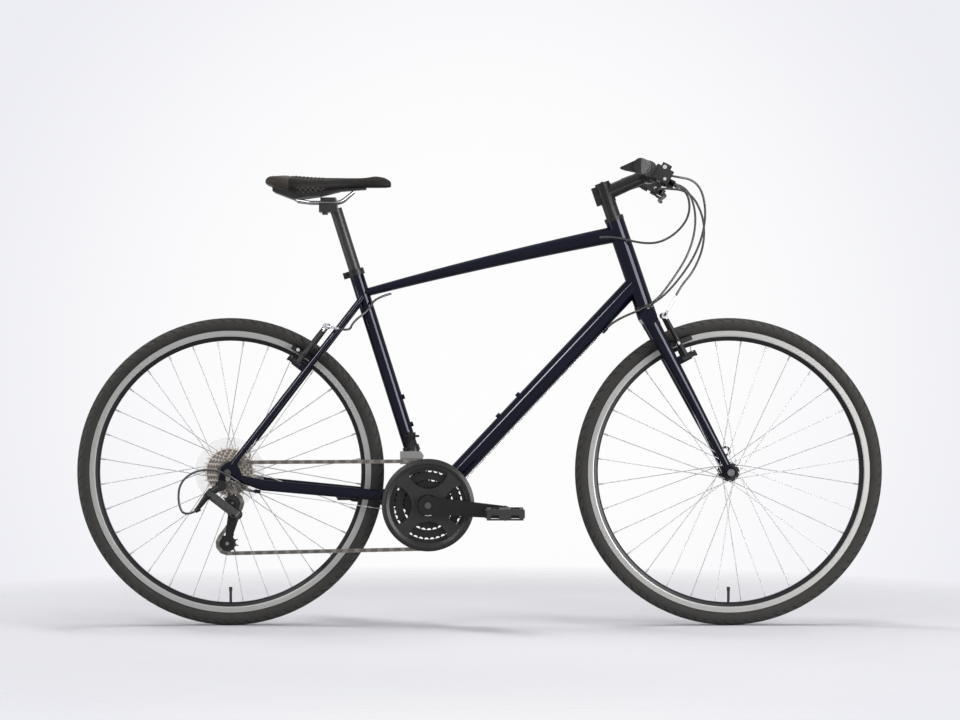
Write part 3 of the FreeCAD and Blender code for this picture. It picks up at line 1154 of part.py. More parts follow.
# Cassette: the freehub, seven sprockets with spacers and the lock ring
cog_bore = size.freehub_radius + size.seat_gap
cog_pieces = []
for number, teeth in enumerate(COG_TEETH):
    centre = axle_plane + Y_AXIS * (number * size.cog_step)
    cog_pieces.append(solid(f"cog{number}", sprocket(centre, teeth, phases["cog"], cog_bore,
                                                     size.cog_thickness)))
    if number:
        gap_at = centre - Y_AXIS * (size.cog_step / 2)
        ring = disc(f"cog_spacer{number}", gap_at, Y_AXIS, "freehub_radius + cog_spacer_wall",
                    "cog_step - cog_thickness - seat_gap")
        hole = disc(f"cog_spacer_hole{number}", gap_at, Y_AXIS, "freehub_radius + seat_gap", "cut_overrun")
        cog_pieces.append(cut(f"cog_spacer_ring{number}", ring, hole))
freehub_in = V(rear_axle.x, -(protector_y + size.protector_thickness / 2 + size.body_gap), rear_axle.z)
freehub_out = axle_plane - Y_AXIS * (size.cog_thickness / 2)
cog_pieces.append(pipe("freehub", freehub_in, freehub_out, "freehub_radius",
                       "axle_radius + running_clearance"))
lock_out = freehub_out - Y_AXIS * size.lock_ring_length
cog_pieces.append(pipe("lock_ring", freehub_out, lock_out, "freehub_radius", "lock_nut_radius + body_gap"))
keep("cassette", cog_pieces)

# Chain guard: a disc with four lens-shaped windows between curved arms, outside the rings
guard_at = bracket + Y_AXIS * (chain_y - size.guard_out)
guard_disc = disc("guard_disc", guard_at, Y_AXIS, "guard_radius", "guard_thickness")
guard_hole = disc("guard_hole", guard_at, Y_AXIS, "guard_bore", "cut_overrun")
windows = []
quarter = math.pi / 2
for number in range(4):
    middle = quarter * number
    spread = quarter / 2 - math.radians(size.window_web)
    corners = [around(guard_at, size.window_outer, middle + turn) for turn in (-spread, 0, spread)]
    waist = around(guard_at, size.window_inner, middle)
    edge = Part.Wire([Part.Arc(*corners).toShape(), Part.Arc(corners[2], waist, corners[0]).toShape()])
    edge.translate(Y_AXIS * -over)
    windows.append(Part.Face(edge).extrude(Y_AXIS * over * 2))
window_tool = solid("guard_windows", Part.makeCompound(windows))
keep("chain_guard", [cut("guard", guard_disc, guard_hole, window_tool)])

# Crank arms with the spider and spindle; the right arm points forward and a little down
crank_angle = -math.radians(size.crank_drop)
crank_out = V(math.cos(crank_angle), 0, math.sin(crank_angle))
spindle_half = size.arm_in + size.arm_thickness
spindle = disc("spindle", bracket, Y_AXIS, "bracket_bore", "arm_in * 2 + arm_thickness * 2")
spindle_room = disc("spindle_room", bracket, Y_AXIS, "bracket_bore + seat_gap", "arm_in * 4")
pedal_points = {}
crank_pieces = [spindle]
for name, side in SIDES.items():
    out = crank_out * -side
    root = bracket + Y_AXIS * side * (size.arm_in + size.arm_thickness / 2)
    end = root + out * size.crank_length + Y_AXIS * side * size.arm_flare
    pedal_points[name] = end + Y_AXIS * side * (size.arm_thickness / 2)
    along = (end - root).normalize()
    across = (Y_AXIS - along * along.dot(Y_AXIS)).normalize()
    bar = plate(f"crank_bar_{name}", root, along, across, "arm_thickness",
                [("0", "arm_root_half"), ("crank_length", "arm_end_half"),
                 ("crank_length", "-arm_end_half"), ("0", "-arm_root_half")])
    boss_disc = disc(f"crank_boss_{name}", root, Y_AXIS, "arm_boss_radius", "arm_thickness * 1.25")
    eye = disc(f"crank_eye_{name}", end, Y_AXIS, "arm_eye_radius", "arm_thickness * 1.1")
    parts = [bar, boss_disc, eye]
    if name == "right":
        inner = bracket + Y_AXIS * (chain_y + size.ring_thickness / 2 + size.seat_gap)
        parts.append(rod("spider_core", inner, root, "spider_core_radius"))
        back = inner + Y_AXIS * size.spider_thickness
        for number in range(4):
            way = around(V(), 1, quarter * (number + 0.5))
            middle = (inner + back) * 0.5 + way * (size.spider_reach / 2)
            parts.append(block(f"spider_arm{number}", middle, FreeCAD.Rotation(way, V(), Y_AXIS, "XZY"),
                               "spider_reach", "spider_width", "spider_thickness"))
            post = back + way * size.spider_post_circle
            post_end = V(post.x, chain_y + size.ring_step * 2 - size.ring_thickness / 2 - size.seat_gap,
                         post.z)
            parts.append(rod(f"spider_post{number}", post - Y_AXIS * size.seat_gap, post_end,
                             "spider_post_radius"))
    crank_pieces.append(cut(f"crank_{name}", fuse(f"crank_fuse_{name}", *parts), spindle_room))
    bolt = bracket + Y_AXIS * side * (spindle_half + size.seat_gap)
    crank_pieces.append(rod(f"crank_bolt_{name}", bolt, bolt + Y_AXIS * side * size.crank_bolt_length,
                            "crank_bolt_radius"))
    axle_start = pedal_points[name] + Y_AXIS * side * size.seat_gap * 8
    crank_pieces.append(rod(f"pedal_axle_{name}", axle_start, axle_start + Y_AXIS * side *
                            (size.pedal_gap + size.pedal_width - size.pedal_cap), "pedal_axle_radius"))
keep("crank_arms", crank_pieces)

# Pedals: a platform with two openings beside the axle barrel, two slots in its outer end and a
# reflector block front and back
for name, side in SIDES.items():
    inner = pedal_points[name] + Y_AXIS * side * size.pedal_gap
    middle = inner + Y_AXIS * side * (size.pedal_width / 2)
    level = FreeCAD.Rotation()
    body = block(f"pedal_body_{name}", middle, level, "pedal_length", "pedal_width", "pedal_height")
    barrel = disc(f"pedal_barrel_{name}", middle, Y_AXIS, "pedal_barrel_radius", "pedal_width")
    pockets = []
    for ahead in (1, -1):
        pocket_at = middle + X_AXIS * ahead * (size.pedal_barrel_radius + size.pedal_pocket / 2)
        pockets.append(block(f"pedal_pocket_{name}{ahead + 1}", pocket_at, level, "pedal_pocket",
                             "pedal_width - pedal_cap * 3", "pedal_height * 2"))
        slot_at = pocket_at + V(0, side * size.pedal_width / 2, -size.pedal_slot_drop)
        pockets.append(block(f"pedal_slot_{name}{ahead + 1}", slot_at, level, "pedal_slot",
                             "pedal_cap * 4", "pedal_slot_height"))
    reflectors = [block(f"pedal_reflector_{name}{ahead + 1}",
                        middle + X_AXIS * ahead * (size.pedal_length / 2 + size.reflector_depth / 2), level,
                        "reflector_depth", "pedal_width * 0.6", "pedal_height * 0.7") for ahead in (1, -1)]
    room = rod(f"pedal_room_{name}", inner - Y_AXIS * side * over, inner + Y_AXIS * side *
               (size.pedal_width - size.pedal_cap / 2), "pedal_axle_radius + running_clearance")
    whole = cut(f"pedal_{name}", fuse(f"pedal_fuse_{name}", cut(f"pedal_open_{name}", body, *pockets),
                                      barrel,
                                      *reflectors), room)
    keep(f"{name}_pedal", [whole])

# Front derailleur: a band round the seat tube with its body, and the cage that hangs over the chain
band_at = on_seat(size.band_along)
band_ends = (band_at - seat_up * size.band_height / 2, band_at + seat_up * size.band_height / 2)
band = pipe("band", band_ends[0], band_ends[1], "seat_tube_radius + band_wall",
            "seat_tube_radius + seat_gap")
shift_pivot = V(band_at.x + size.swing_ahead, -size.swing_out, bracket.z + size.swing_up)
body_block = block("shifter_body", V(shift_pivot.x, -(size.seat_tube_radius + size.swing_out) / 2,
                                     shift_pivot.z),
                   FreeCAD.Rotation(), "swing_body", "swing_out - seat_tube_radius * 0.5", "swing_body")
body_arm = block("shifter_arm", V(band_at.x, -(size.seat_tube_radius + size.band_wall), shift_pivot.z -
                 (shift_pivot.z - band_at.z) / 2), FreeCAD.Rotation(), "swing_body", "band_wall * 3",
                 "mount_arm_height")
swing_pin = disc("swing_pin", shift_pivot, X_AXIS, "pivot_pin_radius", "swing_body * 2")
room_inside = size.swing_out - size.swing_hub_radius - size.body_gap
swing_room = block("swing_room", V(shift_pivot.x, -room_inside - size.cut_overrun, shift_pivot.z),
                   FreeCAD.Rotation(),
                   "swing_body * 0.5", "cut_overrun * 2", "swing_body * 3")
mount = cut("derailleur_mount", fuse("mount_fuse", band, cut("mount_block", fuse("mount_solid", body_block,
                                                                                 body_arm),
            seat_solid, swing_room)), seat_solid)
keep("front_derailleur_mount", [fuse("mount_pinned", mount, swing_pin)])

cage_top = bracket.z + size.cage_top
cage_x = bracket.x - size.cage_back
plates = []
for name, y in (("outer", chain_y - size.cage_outer), ("inner", chain_y + size.cage_inner)):
    low = f"cage_{name}_low"
    outline = [("-cage_length / 2", low), ("cage_length / 2", low),
               ("cage_length / 2", f"{low} + cage_nose"),
               ("cage_length / 2 - cage_nose", "cage_top"), ("-cage_length / 2", "cage_top")]
    plates.append(plate(f"cage_{name}", V(cage_x, y, bracket.z), X_AXIS, Y_AXIS * -1, "cage_plate",
                        outline))
bridge = block("cage_bridge",
               V(cage_x - size.swing_body / 2, chain_y + (size.cage_inner - size.cage_outer) / 2,
               cage_top - size.cage_plate), FreeCAD.Rotation(), "swing_body", "cage_outer + cage_inner",
               "cage_plate * 2")
hanger_foot = V(shift_pivot.x, chain_y + size.cage_inner, cage_top - size.cage_plate)
hanger_bar = rod("cage_arm", shift_pivot, hanger_foot, "pivot_pin_radius * 1.2")
swing_hub = disc("swing_hub", shift_pivot, X_AXIS, "swing_hub_radius", "swing_body * 0.4")
hub_hole = disc("swing_hub_hole", shift_pivot, X_AXIS, "pivot_pin_radius + running_clearance",
                "swing_body * 2")
keep("front_derailleur_cage", [cut("cage", fuse("cage_fuse", *plates, bridge, hanger_bar, swing_hub),
                                   hub_hole)])

# Rear derailleur: the hanger knuckle, swinging links, the cage knuckle, the cage and its two pulleys
link_y = -(size.rear_drop_half + size.drop_thickness + size.link_out)
knuckle_at = rear_axle + V(size.knuckle_x, link_y, size.knuckle_z)
cage_pivot = rear_axle + V(size.cage_pivot_x, link_y, size.cage_pivot_z)
link_along = (cage_pivot - knuckle_at).normalize()
slant = math.radians(size.swing_slant)
swing_axis = link_along.cross(V(0, math.cos(slant), -math.sin(slant))).normalize()
hanger_bolt = rear_axle + V(size.hanger_x, -(size.rear_drop_half + size.drop_thickness + size.body_gap),
                            size.hanger_z)
link_turn = FreeCAD.Rotation(link_along, V(), swing_axis, "XZY")
link_length = (cage_pivot - knuckle_at).Length
# The slots that the links swing in reach well past the links' far ends
ROOM_SHARE = 1.85
knuckle_disc = disc("knuckle_disc", hanger_bolt - Y_AXIS * (size.knuckle_depth / 2), Y_AXIS,
                    "knuckle_radius",
                    "knuckle_depth")
knuckle_arm = rod("knuckle_arm", hanger_bolt - Y_AXIS * (size.knuckle_depth / 2), knuckle_at,
                  "knuckle_arm_radius")
knuckle_room = disc("knuckle_room", knuckle_at, swing_axis, "link_hub_radius + body_gap",
                    "link_hub_length + body_gap * 2")
knuckle_ears = disc("knuckle_ears", knuckle_at, swing_axis, "link_hub_radius",
                    "link_hub_length + ear_thickness * 2")
link_pin = disc("link_pin", knuckle_at, swing_axis, "pivot_pin_radius",
                "link_hub_length + ear_thickness * 2")
barrel_at = knuckle_at + V(-size.barrel_back, 0, -size.barrel_down)
barrel_arm = cone("barrel_arm", knuckle_at - Y_AXIS * size.ear_thickness, barrel_at, "knuckle_arm_radius",
                  "adjuster_radius")
barrel_end = barrel_at + V(-size.stop_radius - size.seat_gap, 0, -size.stop_radius)
barrel_in = V(size.exit_run, 0, size.barrel_lead).normalize()
adjuster = rod("adjuster", barrel_end + barrel_in * size.seat_gap,
               barrel_end + barrel_in * size.adjuster_length, "adjuster_radius")
link_room = block("link_room", knuckle_at + link_along * (link_length / 2), link_turn,
                  str(link_length * ROOM_SHARE),
                  "link_width + body_gap * 12", "link_hub_length + body_gap * 2")
knuckle = cut("knuckle", fuse("knuckle_fuse", knuckle_disc, knuckle_arm, knuckle_ears, barrel_arm,
                              adjuster),
              knuckle_room,
              link_room)
keep("rear_derailleur_knuckle", [fuse("knuckle_pinned", knuckle, link_pin)])

link_hubs = [disc(f"link_hub{number}", place, swing_axis, "link_hub_radius", "link_hub_length")
             for number, place in enumerate((knuckle_at, cage_pivot))]
link_web = block("link_web", (knuckle_at + cage_pivot) * 0.5, link_turn, str(link_length), "link_width",
                 "link_hub_length")
link_holes = [disc(f"link_hole{number}", place, swing_axis, "pivot_pin_radius + running_clearance",
                   "cut_overrun * 3")
              for number, place in enumerate((knuckle_at, cage_pivot))]
keep("rear_derailleur_links", [cut("links", fuse("links_fuse", *link_hubs, link_web), *link_holes)])

# The cage knuckle carries the cage on a pin that points inwards
cage_side = V(cage_pivot.x, chain_y - size.cage_plate_out - size.pulley_plate / 2 - size.body_gap,
              cage_pivot.z)
carrier_ears = disc("carrier_ears", cage_pivot, swing_axis, "link_hub_radius",
                    "link_hub_length + ear_thickness * 2")
carrier_room = disc("carrier_room", cage_pivot, swing_axis, "link_hub_radius + body_gap",
                    "link_hub_length + body_gap * 2")
carrier_disc = rod("carrier_disc", cage_side, V(cage_pivot.x, cage_side.y - size.carrier_depth,
                                                cage_pivot.z),
                   "carrier_radius")
carrier_reach = rod("carrier_reach", V(cage_pivot.x, cage_side.y - size.carrier_depth / 2, cage_pivot.z),
                    cage_pivot,
                    "carrier_radius * 0.8")
carrier_link_room = block("carrier_link_room", cage_pivot - link_along * (link_length / 2), link_turn,
                          str(link_length * ROOM_SHARE), "link_width + body_gap * 12",
                          "link_hub_length + body_gap * 2")
carrier_pin = disc("carrier_pin", cage_pivot, swing_axis, "pivot_pin_radius",
                   "link_hub_length + ear_thickness * 2")
cage_pin_end = V(cage_pivot.x, cage_side.y + size.pulley_plate + size.body_gap, cage_pivot.z)
cage_pin = rod("cage_pin", cage_side - Y_AXIS * size.carrier_depth / 2, cage_pin_end, "pivot_pin_radius")
carrier = cut("carrier", fuse("carrier_fuse", carrier_disc, carrier_reach, carrier_ears), carrier_room,
              carrier_link_room)
keep("rear_derailleur_carrier", [fuse("carrier_pinned", carrier, carrier_pin, cage_pin)])


def cage_side_plate(name, y, with_pivot):
    """A flat strip past both pulleys with round ends; the outer one also reaches the cage pin."""
    low = V(tension_at.x, y, tension_at.z)
    high = V(guide_at.x, y, guide_at.z)
    strips = [(low, high)]
    ends = [(low, "tension_end_radius"), (high, "guide_end_radius")]
    if with_pivot:
        pin_at = V(cage_pivot.x, y, cage_pivot.z)
        strips += [(pin_at, low)]
        ends.append((pin_at, "guide_end_radius"))
    pieces = [disc(f"{name}_end{k}", at, Y_AXIS, radius, "pulley_plate")
              for k, (at, radius) in enumerate(ends)]
    for k, (start, stop) in enumerate(strips):
        strip_turn = FreeCAD.Rotation(stop - start, V(), Y_AXIS, "XZY")
        pieces.append(block(f"{name}_strip{k}", (start + stop) * 0.5, strip_turn,
                            str((stop - start).Length),
                            "guide_end_radius * 1.6", "pulley_plate"))
    return pieces


outer_y = chain_y - size.cage_plate_out
inner_y = chain_y + size.cage_plate_out
cage_parts = cage_side_plate("cage_outer_plate", outer_y, True)
outer_plate = fuse("cage_outer_fuse", *cage_parts)
cage_hole = disc("cage_pin_hole", V(cage_pivot.x, outer_y, cage_pivot.z), Y_AXIS,
                 "pivot_pin_radius + running_clearance",
                 "cut_overrun")
inner_plate = fuse("cage_inner_fuse", *cage_side_plate("cage_inner_plate", inner_y, False))
pulley_pins = [rod(f"pulley_pin{k}", V(at.x, outer_y, at.z), V(at.x, inner_y, at.z), "pivot_pin_radius")
               for k, at in enumerate((guide_at, tension_at))]
keep("rear_derailleur_cage", [cut("derailleur_cage", fuse("derailleur_cage_fuse", outer_plate, inner_plate,
                                                          *pulley_pins),
                                  cage_hole)])
for name, at in (("guide", guide_at), ("tension", tension_at)):
    keep(f"{name}_pulley", [solid(f"{name}_wheel", sprocket(at, PULLEY_TEETH, phases[name],
                                  size.pivot_pin_radius + size.running_clearance, size.cog_thickness))])

# Seatpost with its head clamp
post_top = on_seat(size.post_top)
rail_z = post_top.z + size.rail_above
head_x = post_top.x - size.head_back
cradle_at = V(head_x, 0, rail_z - size.rail_radius * 0.5 - size.cradle_height / 2)
post_bar = rod("post_bar", on_seat(size.post_top - size.post_length_below), post_top, "post_radius")
cradle = block("post_cradle", cradle_at, FreeCAD.Rotation(), "cradle_length",
               "rail_half * 2 + cradle_margin",
               "cradle_height")
keeper_at = V(head_x, 0, rail_z + size.rail_radius * 0.5 + size.keeper_height / 2)
keeper = block("post_keeper", keeper_at, FreeCAD.Rotation(), "cradle_length * 0.85",
               "rail_half * 2 + cradle_margin",
               "keeper_height")
bolt_top = cradle_at - Z_AXIS * (size.cradle_height / 2 + size.seat_gap) - X_AXIS * (size.head_back / 2)
keeper_bolt = rod("keeper_bolt", bolt_top, bolt_top - Z_AXIS * size.cap_height, "lock_nut_radius * 0.7")

# Saddle rails: straight where they are clamped, rising to the nose and to the back
saddle_back = post_top.x - size.saddle_behind
saddle_z = post_top.z + size.saddle_above


def rail_points(side):
    return [V(saddle_back + size.rail_back_x, side * size.rail_back_half, saddle_z - size.rail_back_drop),
            V(head_x - size.cradle_length, side * size.rail_half, rail_z),
            V(head_x + size.cradle_length * 0.7, side * size.rail_half, rail_z),
            V(saddle_back + size.rail_nose_x, side * size.rail_nose_half, saddle_z - size.rail_nose_drop)]


rails = [solid(f"rail_{name}", round_sweep(rail_points(side), size.rail_radius, size.rail_bend))
         for name, side in SIDES.items()]
rail_room = [solid(f"rail_room_{name}", round_sweep(rail_points(side), size.rail_radius + size.seat_gap,
                                                    size.rail_bend))
             for name, side in SIDES.items()]
keep("saddle_rails", rails)
keep("seatpost", [cut("post", post_bar, cradle), cut("cradle", cradle, *rail_room),
                  cut("keeper", keeper, *rail_room),
                  keeper_bolt])

# Saddle: stations from the back to the nose as shares of its length, with shares of its width and height
SADDLE_STATION_SHARES = [0, 0.06, 0.22, 0.42, 0.6, 0.8, 0.94, 1]
SADDLE_WIDTH_SHARES = [0.5, 0.86, 1, 0.72, 0.38, 0.25, 0.2, 0.12]
SADDLE_TOP_SHARES = [0.7, 0.96, 1, 0.91, 0.92, 0.96, 0.92, 0.66]
SADDLE_FOOT_SHARES = [0.45, 0.36, 0, 0.06, 0.26, 0.34, 0.34, 0.37]
SADDLE_DRAW_SHARE = 0.86
SADDLE_BROW_SHARE = 0.7
SADDLE_SIDE_SHARE = 0.45
SADDLE_SHOULDER_SHARE = 0.78


def saddle_section(station, width, top, foot):
    """One slice of the cushion: a flat foot, sides drawn in below and a crowned top."""
    x = saddle_back + size.saddle_length * station
    half = size.saddle_half_width * width
    low = saddle_z - size.saddle_height * (1 - foot)
    high = saddle_z - size.saddle_height * (1 - top)
    tall = high - low
    brow = low + tall * SADDLE_SHOULDER_SHARE
    foot_half = half * SADDLE_DRAW_SHARE
    brow_half = half * SADDLE_BROW_SHARE
    side_z = low + tall * SADDLE_SIDE_SHARE
    right = Part.Arc(V(x, foot_half, low), V(x, half, side_z), V(x, brow_half, brow)).toShape()
    crown = Part.Arc(V(x, brow_half, brow), V(x, 0, high), V(x, -brow_half, brow)).toShape()
    left = Part.Arc(V(x, -brow_half, brow), V(x, -half, side_z), V(x, -foot_half, low)).toShape()
    base = Part.LineSegment(V(x, -foot_half, low), V(x, foot_half, low)).toShape()
    return Part.Wire([right, crown, left, base])


saddle_shares = list(zip(SADDLE_STATION_SHARES, SADDLE_WIDTH_SHARES, SADDLE_TOP_SHARES, SADDLE_FOOT_SHARES))
cushion = Part.makeLoft([saddle_section(*shares) for shares in saddle_shares], True, False)
keep("saddle_cushion", [solid("cushion", cushion)])


def shell_section(station, width, top, foot):
    """One slice of the base under the cushion, deepest at the back."""
    x = saddle_back + size.saddle_length * station
    half = size.saddle_half_width * width * SADDLE_DRAW_SHARE * SADDLE_DRAW_SHARE
    high = saddle_z - size.saddle_height * (1 - foot) - size.shell_gap
    low = high - size.saddle_shell * (1 + SHELL_LOBE_SHARE * width * width)
    corners = [V(x, half, high), V(x, half * SADDLE_DRAW_SHARE, low), V(x, -half * SADDLE_DRAW_SHARE, low),
               V(x, -half, high)]
    return Part.makePolygon(corners + corners[:1])


SHELL_LOBE_SHARE = 2.7
shell = Part.makeLoft([shell_section(*shares) for shares in saddle_shares[1:-2]], True, True)
keep("saddle_shell", [cut("saddle_base", solid("shell_loft", shell), nodes[-1])])

# Cables and housings, each along a route chosen by hand from its own end to its stop
right_pod = controls["right"][0]
left_pod = controls["left"][0]


def housing(name, points, radius=None):
    return solid(name, round_sweep(points, radius or size.housing_radius, size.housing_bend))


top_back = (top_rear - top_front).normalize()
top_stop_side = size.top_tube_front_width / 2 + size.stop_lift
top_stop_at = top_front + top_back * size.top_stop_back - Y_AXIS * top_stop_side
stop_ends = {name: stop_place(side, size.stop_along + size.stop_length / 2 + size.seat_gap)
             for name, side in SIDES.items()}
front_lead_end = brake_ends["front", "right"][0]
rear_lead_end = brake_ends["rear", "right"][0]
exit_side = size.pod_width / 2 + size.housing_radius * 0.6
brake_exit = V(size.brake_exit_x, exit_side, -size.perch_drop)
shift_exit = V(size.shift_exit_x, exit_side, size.shift_exit_z)


def exit_point(pod, side, offset):
    return pod + pod_offset(offset.x, -side * offset.y, offset.z)


# Points ahead of the head tube, counted from the handlebar's middle
def ahead(x, y, z):
    return bar_at + V(x, y, z)


rear_brake_start = exit_point(right_pod, -1, brake_exit)
rear_brake_front = housing("rear_brake_front", [
    rear_brake_start, rear_brake_start + V(size.exit_run * 0.4, size.exit_run, 0), ahead(82, -78, -42),
    ahead(88, -58, -96),
    ahead(52, -42, -140), ahead(0, -36, -160), top_stop_at - top_back * size.exit_run,
    top_stop_at - top_back * size.seat_gap])
shift_routes = []
for name, side, loop in (("right", -1, 0), ("left", 1, -10)):
    pod = controls[name][0]
    start = exit_point(pod, side, shift_exit)
    stop_end = stop_ends[name]
    shift_routes.append(housing(f"shift_housing_{name}", [
        start, start + V(size.exit_run * 0.4, -side * size.exit_run, 0), ahead(104 + loop, side * 96, -20),
        ahead(124 + loop, side * 74, -88), ahead(108 + loop, side * 54, -168),
        ahead(62 + loop, side * 40, -240),
        ahead(10, side * 34, -291), stop_end + down_along * size.exit_run, stop_end]))
front_brake_start = exit_point(left_pod, 1, brake_exit)
front_brake_route = housing("front_brake_route", [
    front_brake_start, front_brake_start + V(size.exit_run * 0.4, -size.exit_run, 0), ahead(98, 84, -30),
    ahead(126, 34, -92), ahead(122, -18, -160), ahead(96, -46, -218),
    front_lead_end + V(size.exit_run * 0.5, 0, size.exit_run),
    front_lead_end + V(0, 0, size.lead_radius * 0.6)])


def cross_cable(prefix):
    """The bare cable between the lead pipe and the far arm."""
    top = brake_ends[prefix, "right"][1]
    far = brake_ends[prefix, "left"][1]
    start = V(top.x, -size.lead_start + size.seat_gap, top.z)
    return rod(f"{prefix}_cross_cable", start, V(far.x, far.y - size.arm_top_radius * 1.2 - size.seat_gap,
                                                 far.z),
               "cable_radius * 2")


keep("bar_housings", [rear_brake_front, *shift_routes, front_brake_route, cross_cable("front")])

# On the frame: rear brake housing, bare cables under the down tube and the rear derailleur's loop
under_top = top_rear - top_back * size.under_exit_along - Z_AXIS * size.under_exit_drop
rear_brake_back = housing("rear_brake_back", [
    under_top, under_top + V(-36, -14, -10), on_seat(454) + V(6, -46, 0), on_seat(424) + V(-40, -56, 0),
    rear_lead_end + V(size.exit_run, 0, -6), rear_lead_end + V(size.seat_gap, 0, 0)])
bare = []
for name, side in SIDES.items():
    start = stop_place(side, size.stop_along - size.stop_length / 2 - size.seat_gap)
    end = bracket + down_below * (size.shell_radius + size.stop_lift) + Y_AXIS * side * size.guide_half
    bare.append(rod(f"bare_cable_{name}", start, end, "cable_radius"))
stop_front = chain_stop_at - stay_run * (size.stop_length / 2 + size.seat_gap)
guide_back = bracket - Z_AXIS * (size.shell_radius + size.stop_lift * 2) - Y_AXIS * size.guide_half
bare.append(rod("bare_cable_stay", guide_back, stop_front, "cable_radius"))
loop_start = chain_stop_at + stay_run * (size.stop_length / 2 + size.seat_gap)
loop_out = rear_axle + V(0, -(size.rear_drop_half + size.drop_thickness + size.loop_out), 0)
loop = housing("shift_loop", [
    loop_start, loop_start + stay_run * size.exit_run, loop_out + V(30, 8, -22), loop_out + V(-12, 0, 6),
    loop_out + V(-66, 0, 8), loop_out + V(-104, 0, -20), loop_out + V(-108, 4, -66),
    V(barrel_end.x - size.exit_run, barrel_end.y, barrel_end.z - size.barrel_lead), barrel_end])
keep("frame_cables", [rear_brake_back, *bare, loop, cross_cable("rear")])


def finish():
    """Check every object, then write each sub-part to its own file."""
    doc.recompute()
    for item in doc.Objects:
        if "Invalid" in item.State or "Error" in item.State:
            raise ValueError(f"{item.Name} failed: {item.State}")
    for node in nodes:
        if node.Shape.isNull() or not node.Shape.isValid() or not node.Shape.Solids:
            raise ValueError(f"{node.Label} has no valid solid")
    for node in nodes:
        node.Shape.exportStep(f"parts/{node.Label}.step")
        print(node.Label, len(node.Shape.Solids), round(node.Shape.Volume))


finish()
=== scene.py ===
import math

import bpy
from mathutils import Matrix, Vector


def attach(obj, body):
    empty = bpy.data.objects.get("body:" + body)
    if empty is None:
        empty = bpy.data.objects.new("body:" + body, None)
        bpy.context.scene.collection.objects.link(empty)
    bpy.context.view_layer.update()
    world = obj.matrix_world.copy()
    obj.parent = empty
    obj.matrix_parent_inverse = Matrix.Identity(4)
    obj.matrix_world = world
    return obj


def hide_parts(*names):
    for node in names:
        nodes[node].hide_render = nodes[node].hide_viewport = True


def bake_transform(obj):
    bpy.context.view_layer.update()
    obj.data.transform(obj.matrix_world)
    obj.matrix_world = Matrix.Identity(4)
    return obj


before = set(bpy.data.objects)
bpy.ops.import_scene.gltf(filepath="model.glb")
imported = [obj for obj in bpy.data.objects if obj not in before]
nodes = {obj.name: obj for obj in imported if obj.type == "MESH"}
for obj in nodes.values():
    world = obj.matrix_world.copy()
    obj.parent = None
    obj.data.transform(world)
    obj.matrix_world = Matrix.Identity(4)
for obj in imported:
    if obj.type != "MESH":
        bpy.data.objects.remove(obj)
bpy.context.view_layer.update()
scene = bpy.context.scene

# Places on the built part, in metres, with x to the front, y to the left and z up
FRONT_AXLE = (0.556, 0.0, 0.343)
REAR_AXLE = (-0.556, 0.0, 0.343)
BRACKET = (-0.11382, 0.0, 0.271)
FRONT_PAD_BOLT = (0.4414, 0.0, 0.629)
REAR_PAD_BOLT = (-0.4040, 0.0, 0.615)
TENSION_BOLT = (-0.558, 0.0, 0.186)
GUIDE_BOLT = (-0.547, 0.0, 0.275)
LOW_POD_BOLT = (0.402, 0.0, 0.985)
HIGH_POD_BOLT = (0.402, 0.0, 1.011)

# Boxes round pieces that have a brighter look than the rest of their node
FRONT_LEAD_PIPE = ((0.405, -0.060, 0.684), (0.445, -0.015, 0.740))
REAR_LEAD_PIPE = ((-0.348, -0.060, 0.655), (-0.300, -0.015, 0.675))
CAGE_PLATES = ((-0.25, -0.10, 0.30), (0.0, 0.0, 0.391))
PIECE_EDGE = 0.0002

# Tread: its cuts in a turn, how much they slant, and distances to each side of the wheel's plane
TREAD_CUTS = 92.0
TREAD_SLANT = 520.0
TREAD_MIDDLE = 0.0045
CENTRE_LINE = (0.0028, 0.0036)

# Tyre and rim: distances from the axle
TREAD_START = 0.3325
SIDE_LINES = ((0.3235, 0.3243), (0.3305, 0.3312))
BRAKE_TRACK = (0.3014, 0.3142)
WEAR_LINE = (0.3075, 0.3080)

# Cogs, chain guard and grips
CHAIN_PITCH = 0.0127
COG_TEETH = (11, 13, 15, 18, 21, 24, 28)
COG_PLANE = -0.056
COG_STEP = 0.005
COG_HALF = 0.0021
TOOTH_FOOT = 0.0035
TOOTH_TOP = 0.0022
GUARD_RIM = (0.089, 0.0985)
GRIP_PAD = (0.192, 0.292)
GRIP_BAND = (0.2765, 0.2905)
GRIP_CAP_START = 0.3045
GRIP_CAP_MIDDLE = 0.3425

# Saddle
REAR_PANEL = -0.422
PANEL_EDGE = 0.001
STITCH_PITCH = 0.022
STITCH_LENGTHWAYS = (-0.405, -0.343)
STITCH_HEIGHTS = (0.961, 0.974)
SADDLE_VOXEL = 0.003
SIDE_SLOPE = 0.3
SLOPE_FADE = 0.4
CHANNEL_DEPTH = 0.003
CHANNEL_HALF = 0.013
CHANNEL_LENGTHWAYS = (-0.430, -0.270)
CHANNEL_FADE = 0.04
SEAM_DEPTH = 0.0012
SEAM_HALF = 0.004
QUILT_PITCH = 0.0085
QUILT_HEIGHT = 0.0012
QUILT_LENGTHWAYS = (-0.410, -0.346)
QUILT_SIDEWAYS = (0.016, 0.055)


